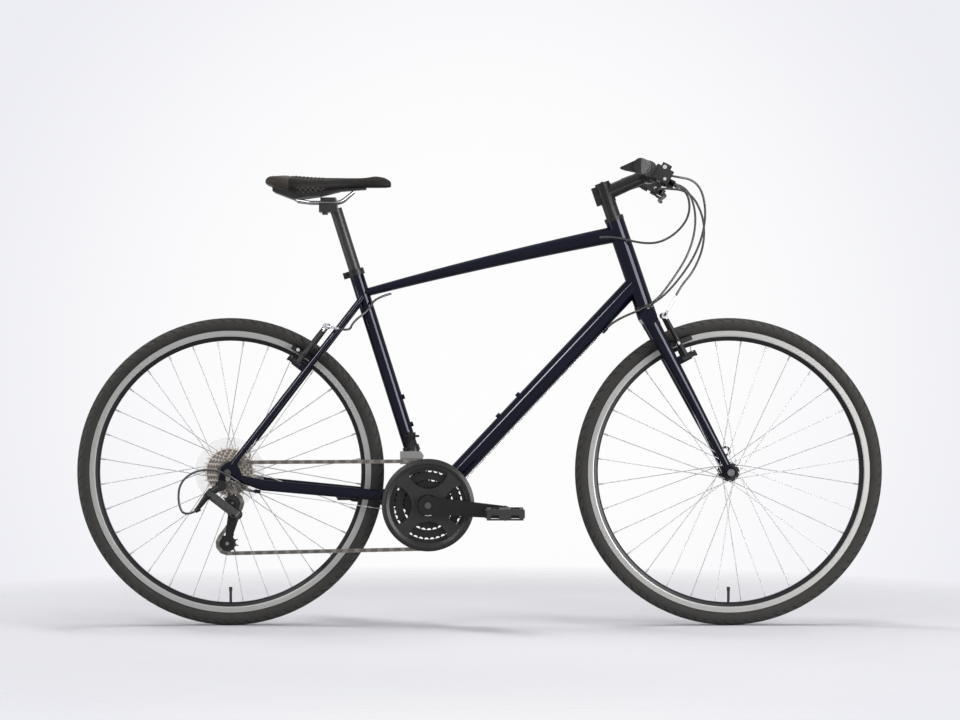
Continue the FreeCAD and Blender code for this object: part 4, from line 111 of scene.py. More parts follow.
class Nodes:
    """A node tree with short calls for the nodes used here. Most calls return an output socket."""

    def __init__(self, tree):
        self.tree = tree

    def new(self, kind, **props):
        node = self.tree.nodes.new(kind)
        for key, value in props.items():
            setattr(node, key, value)
        return node

    def put(self, node, inputs):
        """Links or sets a node's inputs and returns the node."""
        for key, value in inputs.items():
            if hasattr(value, "is_output"):
                self.tree.links.new(value, node.inputs[key])
            else:
                node.inputs[key].default_value = value
        return node

    def math(self, operation, a, b=0.0, clamp=False):
        node = self.new("ShaderNodeMath", operation=operation, use_clamp=clamp)
        return self.put(node, {0: a, 1: b}).outputs[0]

    def times(self, *values):
        result = values[0]
        for value in values[1:]:
            result = self.math("MULTIPLY", result, value)
        return result

    def highest(self, values):
        result = values[0]
        for value in values[1:]:
            result = self.math("MAXIMUM", result, value)
        return result

    def span(self, value, low, high, start=0.0, stop=1.0, kind="LINEAR"):
        """Goes from low to high while value goes from start to stop."""
        node = self.new("ShaderNodeMapRange", clamp=True, interpolation_type=kind)
        self.put(node, {"Value": value, "From Min": start, "From Max": stop, "To Min": low, "To Max": high})
        return node.outputs[0]

    def band(self, value, low, high, soft):
        """1 between low and high, fading out over soft."""
        up = self.span(value, 0.0, 1.0, low - soft, low + soft, "SMOOTHSTEP")
        down = self.span(value, 1.0, 0.0, high - soft, high + soft, "SMOOTHSTEP")
        return self.times(up, down)

    def mix(self, factor, a, b):
        node = self.new("ShaderNodeMix", data_type="RGBA")
        sockets = {s.identifier: s for s in node.inputs}
        for key, value in (("Factor_Float", factor), ("A_Color", a), ("B_Color", b)):
            if hasattr(value, "is_output"):
                self.tree.links.new(value, sockets[key])
            else:
                sockets[key].default_value = value if key == "Factor_Float" else (*value, 1.0)
        return [s for s in node.outputs if s.identifier == "Result_Color"][0]


class Surface(Nodes):
    """A material round one shader, with patterns placed in the part's own frame."""

    SOCKETS = {"color": "Base Color", "rough": "Roughness", "metal": "Metallic", "coat": "Coat Weight",
               "coat_rough": "Coat Roughness", "alpha": "Alpha", "spec": "Specular IOR Level",
               "sheen": "Sheen Weight"}

    def __init__(self, name):
        self.mat = bpy.data.materials.new(name)
        self.mat.use_nodes = True
        super().__init__(self.mat.node_tree)
        self.shader = self.tree.nodes["Principled BSDF"]
        self.coord = self.new("ShaderNodeTexCoord").outputs["Object"]

    def axes(self, origin=(0, 0, 0)):
        shift = self.new("ShaderNodeVectorMath", operation="SUBTRACT")
        self.put(shift, {0: self.coord, 1: origin})
        split = self.put(self.new("ShaderNodeSeparateXYZ"), {0: shift.outputs[0]})
        return split.outputs[0], split.outputs[1], split.outputs[2]

    def distance(self, a, b):
        return self.math("SQRT", self.math("ADD", self.times(a, a), self.times(b, b)))

    def polar(self, centre):
        """Distance from an axle, the angle round it and the place along it."""
        x, y, z = self.axes(centre)
        return self.distance(x, z), self.math("ARCTAN2", z, x), y

    def noise(self, scale, detail=4.0, vector=None):
        node = self.new("ShaderNodeTexNoise")
        self.put(node, {"Vector": vector or self.coord, "Scale": scale, "Detail": detail, "Roughness": 0.55})
        return node.outputs["Fac"]

    def bump(self, height, strength, distance):
        node = self.new("ShaderNodeBump")
        self.put(node, {"Height": height, "Strength": strength, "Distance": distance})
        self.put(self.shader, {"Normal": node.outputs[0]})

    def set(self, **values):
        """Sets the shader's inputs and returns the material."""
        for key, value in values.items():
            plain_color = key == "color" and not hasattr(value, "is_output")
            self.put(self.shader, {self.SOCKETS[key]: (*value, 1.0) if plain_color else value})
        return self.mat


# Materials
def mottled(name, dark, light, rough, metal=0.0, scale=60.0, bump=0.12, **more):
    """A surface with slow colour change, uneven gloss and a fine grain."""
    t = Surface(name)
    slow = t.noise(scale, 5.0)
    t.bump(t.noise(900.0, 3.0), bump, 0.0002)
    gloss = t.span(t.noise(scale * 2.3), *rough)
    return t.set(color=t.mix(slow, dark, light), rough=gloss, metal=metal, **more)


def worn_metal(name, dark, light, rough, scale, edge):
    """Metal that is brighter where it stands out and dull in its corners."""
    t = Surface(name)
    point = t.new("ShaderNodeNewGeometry").outputs["Pointiness"]
    wear = t.math("MULTIPLY", t.span(point, 0.0, 1.0, 0.5, 0.58), t.noise(scale * 3, 3.0), clamp=True)
    base = t.mix(t.noise(scale, 5.0), dark, light)
    t.bump(t.noise(1400.0, 2.0), 0.1, 0.0001)
    return t.set(color=t.mix(wear, base, edge), rough=t.span(t.noise(scale * 2), *rough), metal=1.0)


def frame_paint():
    """Near-black navy with a fine flake under a clear coat."""
    t = Surface("gloss_navy_paint")
    flake = t.noise(2600.0, 1.0)
    tone = t.mix(t.noise(14.0, 3.0), (0.0025, 0.0030, 0.008), (0.0045, 0.0055, 0.016))
    t.bump(t.noise(110.0, 2.0), 0.015, 0.0004)
    return t.set(color=t.mix(t.span(flake, 0.0, 0.6, 0.62, 0.8), tone, (0.012, 0.018, 0.050)),
                 rough=t.span(flake, 0.22, 0.34), metal=0.25, spec=0.0, coat=0.3, coat_rough=0.035)


def tyre_rubber(name, centre):
    """Rubber with slanted cuts and centre lines in its tread, the cuts painted near-black as shade, and fine
    rings on its walls.
    """
    t = Surface(name)
    radius, angle, y = t.polar(centre)
    side = t.math("ABSOLUTE", y)
    tread = t.math("GREATER_THAN", radius, TREAD_START)
    step = t.math("ADD", t.times(angle, TREAD_CUTS), t.times(side, TREAD_SLANT))
    cuts = t.span(t.math("SINE", step), 0.0, 1.0, -0.95, -0.55)
    off_middle = t.math("GREATER_THAN", side, TREAD_MIDDLE)
    # Where the tread is cut: used for the relief and for painted shade in the cuts
    groove_and_shade = t.times(t.math("SUBTRACT", 1.0, cuts), off_middle, tread)
    centre_line = t.times(t.band(side, *CENTRE_LINE, 0.0004), tread)
    low_ring, high_ring = [t.times(t.band(radius, *line, 0.0003), 0.7) for line in SIDE_LINES]
    rings = t.math("ADD", low_ring, high_ring)
    grain = t.noise(1500.0, 3.0)
    t.bump(t.math("SUBTRACT", t.times(grain, 0.12), t.highest([groove_and_shade, centre_line, rings])), 0.4, 0.0009)
    tone = t.mix(t.noise(45.0, 5.0), (0.028, 0.027, 0.025), (0.044, 0.042, 0.040))
    dust = t.times(t.noise(160.0, 5.0), tread)
    tone = t.mix(t.times(dust, 0.5), tone, (0.070, 0.067, 0.064))
    # The tread cuts are painted near-black as shade in them
    return t.set(color=t.mix(t.times(groove_and_shade, 0.7), tone, (0.008, 0.008, 0.008)),
                 rough=t.span(grain, 0.62, 0.82), spec=0.12)


def rim_metal(name, centre):
    """A black rim with a turned silver brake track and its wear line."""
    t = Surface(name)
    radius, angle, _ = t.polar(centre)
    track = t.band(radius, *BRAKE_TRACK, 0.00025)
    wear_line = t.band(radius, *WEAR_LINE, 0.00015)
    rings = t.new("ShaderNodeCombineXYZ")
    t.put(rings, {0: t.times(radius, 2600.0), 1: t.times(angle, 0.8), 2: 0.0})
    turned = t.noise(1.0, 3.0, rings.outputs[0])
    silver = t.mix(turned, (0.34, 0.335, 0.325), (0.44, 0.435, 0.425))
    silver = t.mix(t.times(wear_line, 0.25), silver, (0.2, 0.2, 0.2))
    black = t.mix(t.noise(70.0), (0.010, 0.010, 0.011), (0.018, 0.018, 0.019))
    t.bump(t.times(turned, track), 0.12, 0.0002)
    return t.set(color=t.mix(track, black, silver), metal=t.span(track, 0.3, 0.15), spec=0.15,
                 rough=t.span(turned, 0.30, 0.42))


def cassette_steel():
    """Warm pale cogs, with painted shade where one shows between the teeth of the next smaller one."""
    t = Surface("sprocket_steel")
    radius, _, y = t.polar(REAR_AXLE)
    # Rings where a cog shows behind the teeth of the next smaller one, painted dark as shade
    painted_shade_rings = []
    for place, smaller in enumerate(COG_TEETH[:-1], 1):
        pitch = CHAIN_PITCH * smaller / (2 * math.pi)
        plane = COG_PLANE + place * COG_STEP
        painted_shade_rings.append(t.times(t.band(y, plane - COG_HALF, plane + COG_HALF, 0.0003),
                            t.band(radius, pitch - TOOTH_FOOT, pitch + TOOTH_TOP, 0.0004)))
    grain = t.noise(160.0)
    t.bump(t.noise(1400.0, 2.0), 0.1, 0.0001)
    pale = t.mix(grain, (0.60, 0.55, 0.50), (0.76, 0.71, 0.66))
    # The colour of the painted shade on those rings
    dark = t.mix(grain, (0.17, 0.145, 0.12), (0.28, 0.245, 0.21))
    return t.set(color=t.mix(t.highest(painted_shade_rings), pale, dark), metal=0.2, rough=t.span(grain, 0.28, 0.44))


def grip_rubber():
    """Dotted and ribbed rubber with a light band and a light front half of the end cap."""
    t = Surface("grip_rubber")
    x, y, _ = t.axes()
    side = t.math("ABSOLUTE", y)
    ribs = t.math("SINE", t.times(side, 1900.0))
    dots = t.new("ShaderNodeTexVoronoi", feature="SMOOTH_F1")
    t.put(dots, {"Vector": t.coord, "Scale": 420.0})
    pad = t.band(side, *GRIP_PAD, 0.003)
    t.bump(t.math("ADD", t.times(dots.outputs["Distance"], pad), t.times(ribs, 0.15)), 0.55, 0.0007)
    tone = t.mix(t.noise(120.0, 5.0), (0.015, 0.015, 0.015), (0.026, 0.026, 0.027))
    cap = t.times(t.math("GREATER_THAN", side, GRIP_CAP_START), t.math("GREATER_THAN", x, GRIP_CAP_MIDDLE))
    light = t.highest([t.band(side, *GRIP_BAND, 0.0006), cap])
    return t.set(color=t.mix(light, tone, (0.165, 0.158, 0.155)), rough=t.span(t.noise(300.0), 0.6, 0.78),
                 spec=0.15)


def clear_plastic():
    """Hazy plastic with fine rings round the rear axle."""
    t = Surface("clear_plastic")
    radius = t.polar(REAR_AXLE)[0]
    t.bump(t.math("SINE", t.times(radius, 1500.0)), 0.1, 0.0004)
    haze = t.noise(90.0)
    return t.set(color=t.mix(haze, (0.78, 0.75, 0.71), (0.90, 0.88, 0.85)), rough=t.span(haze, 0.12, 0.28),
                 alpha=0.16)


def two_tone(name, dark, bright, rough_dark, rough_bright, boxes=(), rounds=()):
    """A dark satin part with bright pieces inside the given boxes and rounds seen from the side."""
    t = Surface(name)
    axes = t.axes()
    masks = []
    for low, high in boxes:
        masks.append(t.times(*[t.band(axis, a, b, PIECE_EDGE) for axis, a, b in zip(axes, low, high)]))
    for centre, reach in rounds:
        masks.append(t.band(t.polar(centre)[0], -reach, reach, PIECE_EDGE))
    mask = t.highest(masks)
    grain = t.noise(240.0)
    t.bump(t.noise(1200.0, 2.0), 0.1, 0.0002)
    base = t.mix(grain, dark, tuple(c * 1.7 for c in dark))
    metal = t.mix(grain, tuple(c * 0.85 for c in bright), bright)
    dull = t.times(t.span(grain, *rough_dark), t.math("SUBTRACT", 1.0, mask))
    shine = t.times(t.span(grain, *rough_bright), mask)
    return t.set(color=t.mix(mask, base, metal), metal=t.span(mask, 0.2, 1.0), spec=0.2,
                 rough=t.math("ADD", dull, shine))


def guard_cover():
    """Moulded plastic with a raised rim."""
    t = Surface("guard_plastic")
    radius = t.polar(BRACKET)[0]
    grain = t.noise(60.0, 5.0)
    rim = t.band(radius, *GUARD_RIM, 0.0035)
    t.bump(t.math("ADD", rim, t.times(t.noise(900.0, 3.0), 0.02)), 0.8, 0.004)
    return t.set(color=t.mix(grain, (0.014, 0.0135, 0.013), (0.024, 0.023, 0.022)),
                 rough=t.span(grain, 0.30, 0.42), spec=0.25)


def saddle_cover():
    """Leather grain, a smoother rear panel and crossed stitches low on the sides."""
    t = Surface("saddle_cover")
    x, _, z = t.axes()
    cells = t.new("ShaderNodeTexVoronoi", feature="DISTANCE_TO_EDGE")
    t.put(cells, {"Vector": t.coord, "Scale": 900.0})
    folds = t.noise(60.0)
    rear = t.span(x, 1.0, 0.0, REAR_PANEL - PANEL_EDGE, REAR_PANEL + PANEL_EDGE)
    grain = t.times(t.math("MINIMUM", cells.outputs["Distance"], 0.25), t.span(rear, 1.0, 0.3))
    rows = []
    for slope in (1.0, -1.0):
        slanted = t.math("ADD", x, t.times(z, slope))
        wave = t.math("SINE", t.times(slanted, 2 * math.pi / STITCH_PITCH))
        rows.append(t.span(t.math("ABSOLUTE", wave), 1.0, 0.0, 0.05, 0.35))
    patch = t.times(t.band(x, *STITCH_LENGTHWAYS, 0.001), t.band(z, *STITCH_HEIGHTS, 0.001))
    stitches = t.times(t.highest(rows), patch)
    leather = t.math("ADD", grain, t.times(folds, 0.4))
    t.bump(t.math("ADD", leather, t.times(stitches, 0.6)), 0.35, 0.0005)
    tone = t.mix(folds, (0.012, 0.011, 0.010), (0.021, 0.019, 0.0175))
    panel = t.mix(t.noise(35.0, 3.0), (0.030, 0.026, 0.024), (0.072, 0.062, 0.056))
    tone = t.mix(t.times(rear, 0.8), tone, panel)
    return t.set(color=t.mix(t.times(stitches, 0.8), tone, (0.17, 0.155, 0.145)),
                 rough=t.span(folds, 0.42, 0.60), spec=0.06, sheen=0.02)


paint = frame_paint()
satin_black = mottled("satin_black_alloy", (0.010, 0.010, 0.010), (0.020, 0.0195, 0.019), (0.28, 0.42),
                      metal=0.2, spec=0.2)
black_plastic = mottled("moulded_black_plastic", (0.012, 0.0118, 0.0115), (0.022, 0.0215, 0.021),
                        (0.46, 0.62), bump=0.25, spec=0.25)
ring_metal = mottled("black_chainring", (0.010, 0.010, 0.010), (0.020, 0.020, 0.020), (0.28, 0.42),
                     metal=0.5, spec=0.3)
chain_metal = worn_metal("chain_steel", (0.040, 0.036, 0.032), (0.11, 0.10, 0.09), (0.34, 0.50), 150.0,
                         (0.24, 0.23, 0.21))
spoke_metal = mottled("spoke_steel", (0.42, 0.42, 0.425), (0.54, 0.54, 0.545), (0.30, 0.44),
                      metal=0.15, scale=200.0)
plain_steel = mottled("plain_steel", (0.05, 0.05, 0.05), (0.11, 0.11, 0.11), (0.28, 0.42), metal=1.0)
link_grey = mottled("link_alloy", (0.024, 0.024, 0.0235), (0.046, 0.045, 0.044), (0.30, 0.44),
                    metal=0.4, spec=0.3)
post_black = mottled("post_alloy", (0.028, 0.028, 0.027), (0.046, 0.045, 0.044), (0.26, 0.38),
                     metal=0.2, spec=0.15)
grey_rail = mottled("rail_steel", (0.16, 0.16, 0.165), (0.26, 0.26, 0.265), (0.3, 0.45), metal=1.0)
housing_black = mottled("cable_jacket", (0.020, 0.020, 0.020), (0.032, 0.032, 0.032), (0.32, 0.46), bump=0.06)
bare_cable = mottled("bare_cable", (0.34, 0.34, 0.34), (0.55, 0.55, 0.55), (0.25, 0.4),
                     metal=1.0, scale=500.0)
DARK_ALLOY = (0.009, 0.0088, 0.0085)
arm_metal = two_tone("brake_arm_metal", (0.010, 0.010, 0.011), (0.62, 0.62, 0.62), (0.32, 0.46), (0.2, 0.3),
                     boxes=(FRONT_LEAD_PIPE, REAR_LEAD_PIPE),
                     rounds=((FRONT_PAD_BOLT, 0.004), (REAR_PAD_BOLT, 0.004)))
crank_metal = two_tone("crank_alloy", DARK_ALLOY, (0.09, 0.089, 0.087), (0.28, 0.42), (0.25, 0.35),
                       rounds=((BRACKET, 0.0075),))
cage_metal = two_tone("cage_alloy", DARK_ALLOY, (0.22, 0.22, 0.215), (0.28, 0.42), (0.2, 0.3),
                      rounds=((TENSION_BOLT, 0.004), (GUIDE_BOLT, 0.003)))
front_cage_metal = two_tone("front_cage_steel", DARK_ALLOY, (0.24, 0.235, 0.225), (0.28, 0.42), (0.26, 0.36),
                            boxes=(CAGE_PLATES,))
pod_plastic = two_tone("pod_plastic", DARK_ALLOY, (0.42, 0.41, 0.40), (0.44, 0.60), (0.25, 0.35),
                       rounds=((LOW_POD_BOLT, 0.0035), (HIGH_POD_BOLT, 0.0045)))

LOOKS = (
    (paint, ("bottom_bracket_shell", "seat_tube", "head_tube", "top_tube", "down_tube", "rear_stays",
             "rear_dropouts", "frame_bosses", "fork")),
    (satin_black, ("bearing_cups", "seat_clamp", "stem", "handlebar", "steerer", "left_brake_lever",
                   "right_brake_lever", "front_derailleur_mount", "rear_derailleur_knuckle",
                   "rear_derailleur_carrier", "front_hub", "rear_hub", "front_release_lever",
                   "rear_release_lever")),
    (black_plastic, ("left_shift_lever", "left_release_lever", "right_shift_lever", "right_release_lever",
                     "left_pedal", "right_pedal", "guide_pulley", "tension_pulley", "saddle_shell")),
    (arm_metal, ("front_left_brake_arm", "front_right_brake_arm", "rear_left_brake_arm",
                 "rear_right_brake_arm")),
    (plain_steel, ("rear_axle", "front_axle")),
    (spoke_metal, ("front_spokes", "rear_spokes")),
    (post_black, ("seatpost",)),
    (grey_rail, ("saddle_rails",)),
    (ring_metal, ("chainrings",)),
    (chain_metal, ("chain",)),
    (link_grey, ("rear_derailleur_links",)),
    (crank_metal, ("crank_arms",)),
    (cage_metal, ("rear_derailleur_cage",)),
    (front_cage_metal, ("front_derailleur_cage",)),
    (pod_plastic, ("control_pods",)),
    (cassette_steel(), ("cassette",)),
    (guard_cover(), ("chain_guard",)),
    (clear_plastic(), ("spoke_protector",)),
    (grip_rubber(), ("grips",)),
    (tyre_rubber("front_tyre_rubber", FRONT_AXLE), ("front_tyre",)),
    (tyre_rubber("rear_tyre_rubber", REAR_AXLE), ("rear_tyre",)),
    (rim_metal("front_rim_metal", FRONT_AXLE), ("front_rim",)),
    (rim_metal("rear_rim_metal", REAR_AXLE), ("rear_rim",)),
)
for look, names in LOOKS:
    for name in names:
        nodes[name].data.materials.clear()
        nodes[name].data.materials.append(look)

# Cables: the routes of the built cables in metres
HOUSING = 0.0025
BARE = 0.0008
REAR_BRAKE = [(0.40357, -0.13828, 0.98326), (0.41317, -0.11428, 0.98326), (0.46038, -0.078, 0.96415),
              (0.46638, -0.058, 0.91015), (0.43038, -0.042, 0.86615), (0.37838, -0.036, 0.84615),
              (0.29022, -0.022, 0.86959), (0.26695, -0.022, 0.86414)]
SHIFT_RIGHT = [(0.41014, -0.13828, 0.99562), (0.41974, -0.11428, 0.99562), (0.48238, -0.096, 0.98615),
               (0.50238, -0.074, 0.91815), (0.48638, -0.054, 0.83815), (0.44038, -0.04, 0.76615),
               (0.38838, -0.034, 0.71515), (0.3011, -0.009, 0.68124), (0.28467, -0.009, 0.66375)]
SHIFT_LEFT = [(0.41014, 0.13828, 0.99562), (0.41974, 0.11428, 0.99562), (0.47238, 0.096, 0.98615),
              (0.49238, 0.074, 0.91815), (0.47638, 0.054, 0.83815), (0.43038, 0.04, 0.76615),
              (0.38838, 0.034, 0.71515), (0.3011, 0.009, 0.68124), (0.28467, 0.009, 0.66375)]
FRONT_BRAKE = [(0.40357, 0.13828, 0.98326), (0.41317, 0.11428, 0.98326), (0.47638, 0.084, 0.97615),
               (0.50438, 0.034, 0.91415), (0.50038, -0.018, 0.84615), (0.47438, -0.046, 0.78815),
               (0.44707, -0.052, 0.75718), (0.43507, -0.052, 0.73474)]
REAR_BRAKE_BACK = [(-0.19751, 0.0, 0.74029), (-0.23351, -0.014, 0.73029), (-0.24434, -0.046, 0.70399),
                   (-0.28132, -0.056, 0.67538), (-0.28767, -0.052, 0.65548), (-0.31157, -0.052, 0.66148)]
SHIFT_LOOP = [(-0.4984, -0.06191, 0.30181), (-0.52219, -0.06426, 0.30402), (-0.526, -0.0855, 0.321),
              (-0.568, -0.0935, 0.349), (-0.622, -0.0935, 0.351), (-0.66, -0.0935, 0.323),
              (-0.664, -0.0895, 0.277), (-0.6501, -0.0865, 0.247), (-0.6261, -0.0865, 0.259)]
LEFT_BARE = [(0.27494, 0.009, 0.65341), (-0.09706, 0.006, 0.25525)]
RIGHT_BARE = [(0.27494, -0.009, 0.65341), (-0.09706, -0.006, 0.25525)]
STAY_BARE = [(-0.11382, -0.006, 0.245), (-0.48433, -0.06053, 0.3005)]
FRONT_CROSS = (0.41107, 0.69118)
REAR_CROSS = (-0.34167, 0.66748)
CROSS_ENDS = {"right": -0.0219, "left": 0.02514}
CROSS_MIDDLE = 0.0016

# Start and end points given for each housing from the bar, passed to cable() as turn
REAR_BRAKE_TURN = ((0.445, -0.08, 0.955), (0.300, -0.026, 0.866))
SHIFT_TURN_START = 0.955
SHIFT_TURN_END = (0.310, 0.690)


def spline(name, route, radius):
    """A route as one smooth round tube."""
    data = bpy.data.curves.new(name, "CURVE")
    data.dimensions = "3D"
    data.resolution_u = 16
    line = data.splines.new("NURBS")
    line.points.add(len(route) - 1)
    for point, place in zip(line.points, route):
        point.co = (*place, 1.0)
    line.order_u = 3
    line.use_endpoint_u = True
    data.bevel_depth = radius
    data.bevel_resolution = 4
    data.use_fill_caps = True
    obj = bpy.data.objects.new(name, data)
    scene.collection.objects.link(obj)
    return obj


def line_of(route):
    """The points of a route's spline."""
    obj = spline("line", route, 0.0)
    mesh = bpy.data.meshes.new_from_object(obj)
    points = [tuple(v.co) for v in mesh.vertices]
    bpy.data.objects.remove(obj)
    bpy.data.meshes.remove(mesh)
    return points


def cable(name, route, radius, look, body, node, slot, to_body=None, turn=None):
    """One cable as a smooth tube that rides on a body, or is left fixed in place on no body when it runs to a
    second one.
    """
    obj = spline(name, route, radius)
    mesh = bpy.data.meshes.new_from_object(obj)
    bpy.data.objects.remove(obj)
    tube = bpy.data.objects.new(name, mesh)
    scene.collection.objects.link(tube)
    mesh.materials.append(look)
    mesh.shade_smooth()
    if to_body:
        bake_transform(tube)
    else:
        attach(tube, body)
    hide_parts(node)
    points = line_of(route)


def housing(name, route, body, node, **ends):
    cable(name, route, HOUSING, housing_black, body, node, "cable_jacket", **ends)


housing("rear_brake_housing", REAR_BRAKE, "steering", "bar_housings", to_body="frame", turn=REAR_BRAKE_TURN)
for label, route in (("right", SHIFT_RIGHT), ("left", SHIFT_LEFT)):
    turn_start = (route[3][0], route[3][1], SHIFT_TURN_START)
    turn_end = (SHIFT_TURN_END[0], route[-1][1], SHIFT_TURN_END[1])
    housing(f"{label}_shift_housing", route, "steering", "bar_housings", to_body="frame",
            turn=(turn_start, turn_end))
housing("front_brake_housing", FRONT_BRAKE, "steering", "bar_housings")
housing("rear_brake_tail", REAR_BRAKE_BACK, "frame", "frame_cables")
housing("derailleur_loop", SHIFT_LOOP, "frame", "frame_cables")
for label, route in (("left", LEFT_BARE), ("right", RIGHT_BARE), ("stay", STAY_BARE)):
    cable(f"{label}_bare_cable", route, BARE, bare_cable, "frame", "frame_cables", "bare_steel")

# The bare cable across each pair of brake arms, in two halves that end on the arms and meet in the middle
for prefix, body, node, (x, z) in (("front", "steering", "bar_housings", FRONT_CROSS),
                                   ("rear", "frame", "frame_cables", REAR_CROSS)):
    for side, end in CROSS_ENDS.items():
        half = [(x, end, z), (x, CROSS_MIDDLE, z)]
        cable(f"{prefix}_{side}_cross_cable", half, BARE * 2, bare_cable, f"{prefix}_{side}_brake_arm", node,
              "bare_steel", to_body=body, turn=half)


# Saddle cushion
def fade(value, low, high, soft):
    """1 between low and high, falling smoothly to 0 over soft outside them."""
    out = max(low - value, value - high, 0.0) / soft
    return 0.0 if out >= 1.0 else (1.0 - out * out) ** 2


def smooth_cushion():
    """The built cushion's form with its edges rounded, as a new mesh."""
    mesh = nodes["saddle_cushion"].data.copy()
    mesh.materials.clear()
    pad = bpy.data.objects.new("saddle_padding", mesh)
    scene.collection.objects.link(pad)
    remesh = pad.modifiers.new("remesh", "REMESH")
    remesh.mode = "VOXEL"
    remesh.voxel_size = SADDLE_VOXEL
    smooth = pad.modifiers.new("smooth", "SMOOTH")
    smooth.factor = 0.5
    smooth.iterations = 6
    finer = pad.modifiers.new("finer", "SUBSURF")
    finer.levels = 1
    finer.render_levels = 1
    depsgraph = bpy.context.evaluated_depsgraph_get()
    form = bpy.data.meshes.new_from_object(pad.evaluated_get(depsgraph))
    bpy.data.objects.remove(pad)
    return form


def relief(place, normal):
    """How far the cover stands out: a quilted patch, less the centre channel and the panel seam."""
    x, y, _ = place
    upper = min(max((normal.z - SIDE_SLOPE) / SLOPE_FADE, 0.0), 1.0)
    channel = fade(x, *CHANNEL_LENGTHWAYS, CHANNEL_FADE) * fade(y, 0.0, 0.0, CHANNEL_HALF)
    seam = SEAM_DEPTH * fade(x, REAR_PANEL, REAR_PANEL, SEAM_HALF)
    wave = math.cos(math.pi * x / QUILT_PITCH) * math.cos(math.pi * y / QUILT_PITCH)
    patch = fade(x, *QUILT_LENGTHWAYS, 0.004) * fade(abs(y), *QUILT_SIDEWAYS, 0.008)
    return upper * (QUILT_HEIGHT * wave ** 2 * patch - CHANNEL_DEPTH * channel) - seam


def saddle():
    form = smooth_cushion()
    normals = [vertex.normal.copy() for vertex in form.vertices]
    for vertex, normal in zip(form.vertices, normals):
        vertex.co += normal * relief(vertex.co, normal)
    pad = bpy.data.objects.new("saddle_padding", form)
    scene.collection.objects.link(pad)
    form.materials.append(saddle_cover())
    form.shade_smooth()
    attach(pad, "seat")
    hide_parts("saddle_cushion")


saddle()

# Stage, light and camera
FLOOR_HALF = 3
FLOOR_FADE = (0.95, 1.75)
BACKDROP_EDGE = (0.845, 0.848, 0.900)
# A pool of light painted into the backdrop's middle, straight behind the part
BACKDROP_PAINTED_LIGHT = (0.985, 0.985, 0.988)
BACKDROP_FADE = (0.978, 1.0)
LIGHT_HEIGHTS = (0.25, 0.90)
LIGHT_LEVELS = (0.14, 0.55)
MM_PER_PIXEL = 2.2345
IMAGE_WIDTH = 960
SENSOR = 36.0
DISTANCE = 6.0
CAMERA_ALONG = 0.001
CAMERA_HEIGHT = 0.592


def floor_material():
    """A pale floor that keeps the shadow near the part and fades into the backdrop."""
    t = Surface("floor")
    x, y, _ = t.axes()
    t.set(color=(0.58, 0.58, 0.61), rough=0.95, spec=0.0)
    far = t.span(t.distance(x, y), 0.0, 1.0, *FLOOR_FADE)
    clear = t.new("ShaderNodeBsdfTransparent")
    blend = t.new("ShaderNodeMixShader")
    t.put(blend, {0: far, 1: t.shader.outputs[0], 2: clear.outputs[0]})
    t.put(t.tree.nodes["Material Output"], {"Surface": blend.outputs[0]})
    return t.mat


def floor():
    mesh = bpy.data.meshes.new("floor")
    corners = [(x * FLOOR_HALF, y * FLOOR_HALF, 0) for x, y in ((-1, -1), (1, -1), (1, 1), (-1, 1))]
    mesh.from_pydata(corners, [], [(0, 1, 2, 3)])
    obj = bpy.data.objects.new("floor", mesh)
    scene.collection.objects.link(obj)
    mesh.materials.append(floor_material())


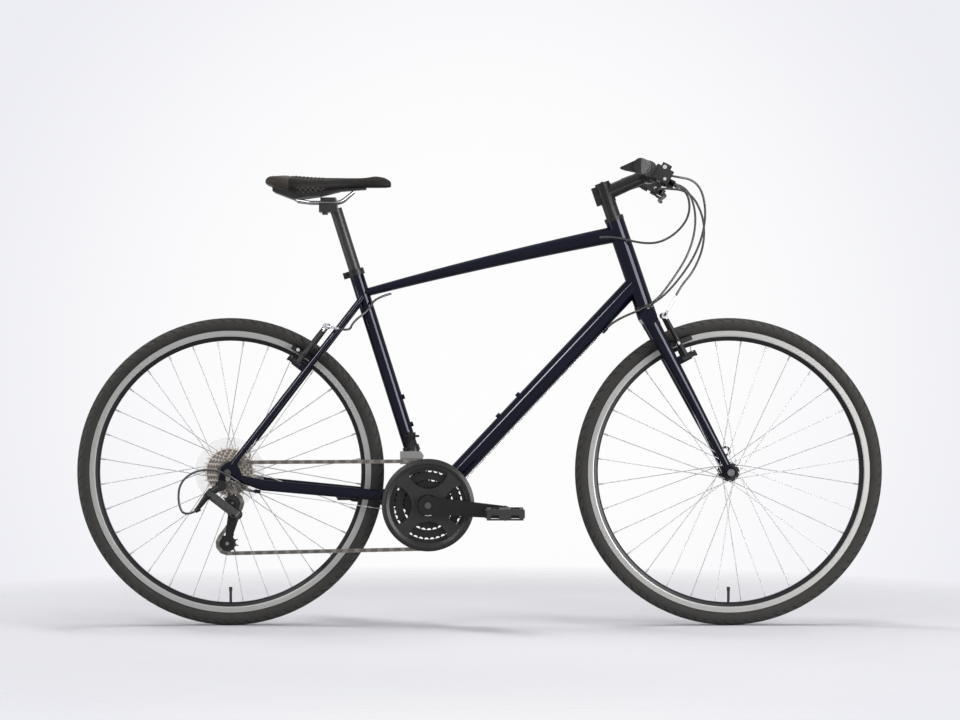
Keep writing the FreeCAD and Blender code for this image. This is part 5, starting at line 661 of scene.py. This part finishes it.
def studio_world():
    """A pale backdrop with a pool of light painted into its middle, and light on the part that is strong from
    above and weak from the sides.
    """
    world = bpy.data.worlds.new("studio")
    scene.world = world
    world.use_nodes = True
    n = Nodes(world.node_tree)
    direction = n.new("ShaderNodeTexCoord").outputs["Generated"]
    split = n.put(n.new("ShaderNodeSeparateXYZ"), {0: direction})
    # The backdrop is painted brighter towards its middle, straight behind the part, as a pool of light
    middle = n.span(split.outputs[1], 0.0, 1.0, *BACKDROP_FADE, kind="SMOOTHSTEP")
    seen = n.put(n.tree.nodes["Background"], {"Color": n.mix(middle, BACKDROP_EDGE, BACKDROP_PAINTED_LIGHT)})
    level = n.span(split.outputs[2], *LIGHT_LEVELS, *LIGHT_HEIGHTS, kind="SMOOTHSTEP")
    light = n.put(n.new("ShaderNodeBackground"), {"Strength": level})
    path = n.new("ShaderNodeLightPath").outputs
    shown = n.highest([path["Is Camera Ray"], path["Is Transmission Ray"], path["Is Glossy Ray"]])
    either = n.put(n.new("ShaderNodeMixShader"), {0: shown, 1: light.outputs[0], 2: seen.outputs[0]})
    n.put(n.tree.nodes["World Output"], {"Surface": either.outputs[0]})


def lamp(name, place, target, width, height, power, mirrored):
    """A soft box that either lights the part or only shows as a reflection in its gloss."""
    data = bpy.data.lights.new(name, "AREA")
    data.shape = "RECTANGLE"
    data.size = width
    data.size_y = height
    data.energy = power
    obj = bpy.data.objects.new(name, data)
    obj.location = place
    obj.rotation_euler = (Vector(target) - Vector(place)).to_track_quat("-Z", "Y").to_euler()
    obj.visible_glossy = mirrored
    obj.visible_diffuse = not mirrored
    scene.collection.objects.link(obj)


floor()
studio_world()
lamp("key", (-1.6, -3.4, 3.2), (0, 0, 0.5), 2.0, 1.0, 36, False)
lamp("top", (0.1, 0.1, 3.0), (0, 0, 0.4), 2.4, 0.5, 80, False)
lamp("right_fill", (3.0, -2.2, 1.0), (0, 0, 0.6), 1.8, 2.4, 90, False)
lamp("right_panel", (2.6, -3.0, 1.0), (0, 0, 0.6), 2.2, 2.6, 320, True)
lamp("left_fill", (-3.2, -0.9, 1.0), (0, 0, 0.6), 0.9, 2.2, 40, False)
lamp("left_panel", (-3.2, -0.9, 1.0), (0, 0, 0.6), 1.0, 2.4, 90, True)
lamp("tube_line", (-2.3, -3.6, 2.9), (0, 0, 0.6), 0.9, 0.9, 110, True)

camera_data = bpy.data.cameras.new("camera")
camera_data.sensor_width = SENSOR
camera_data.lens = SENSOR * DISTANCE / (IMAGE_WIDTH * MM_PER_PIXEL / 1000)
camera = bpy.data.objects.new("camera", camera_data)
camera.location = (CAMERA_ALONG, -DISTANCE, CAMERA_HEIGHT)
camera.rotation_euler = (math.pi / 2, 0, 0)
scene.collection.objects.link(camera)
scene.camera = camera
scene.view_settings.view_transform = "Standard"
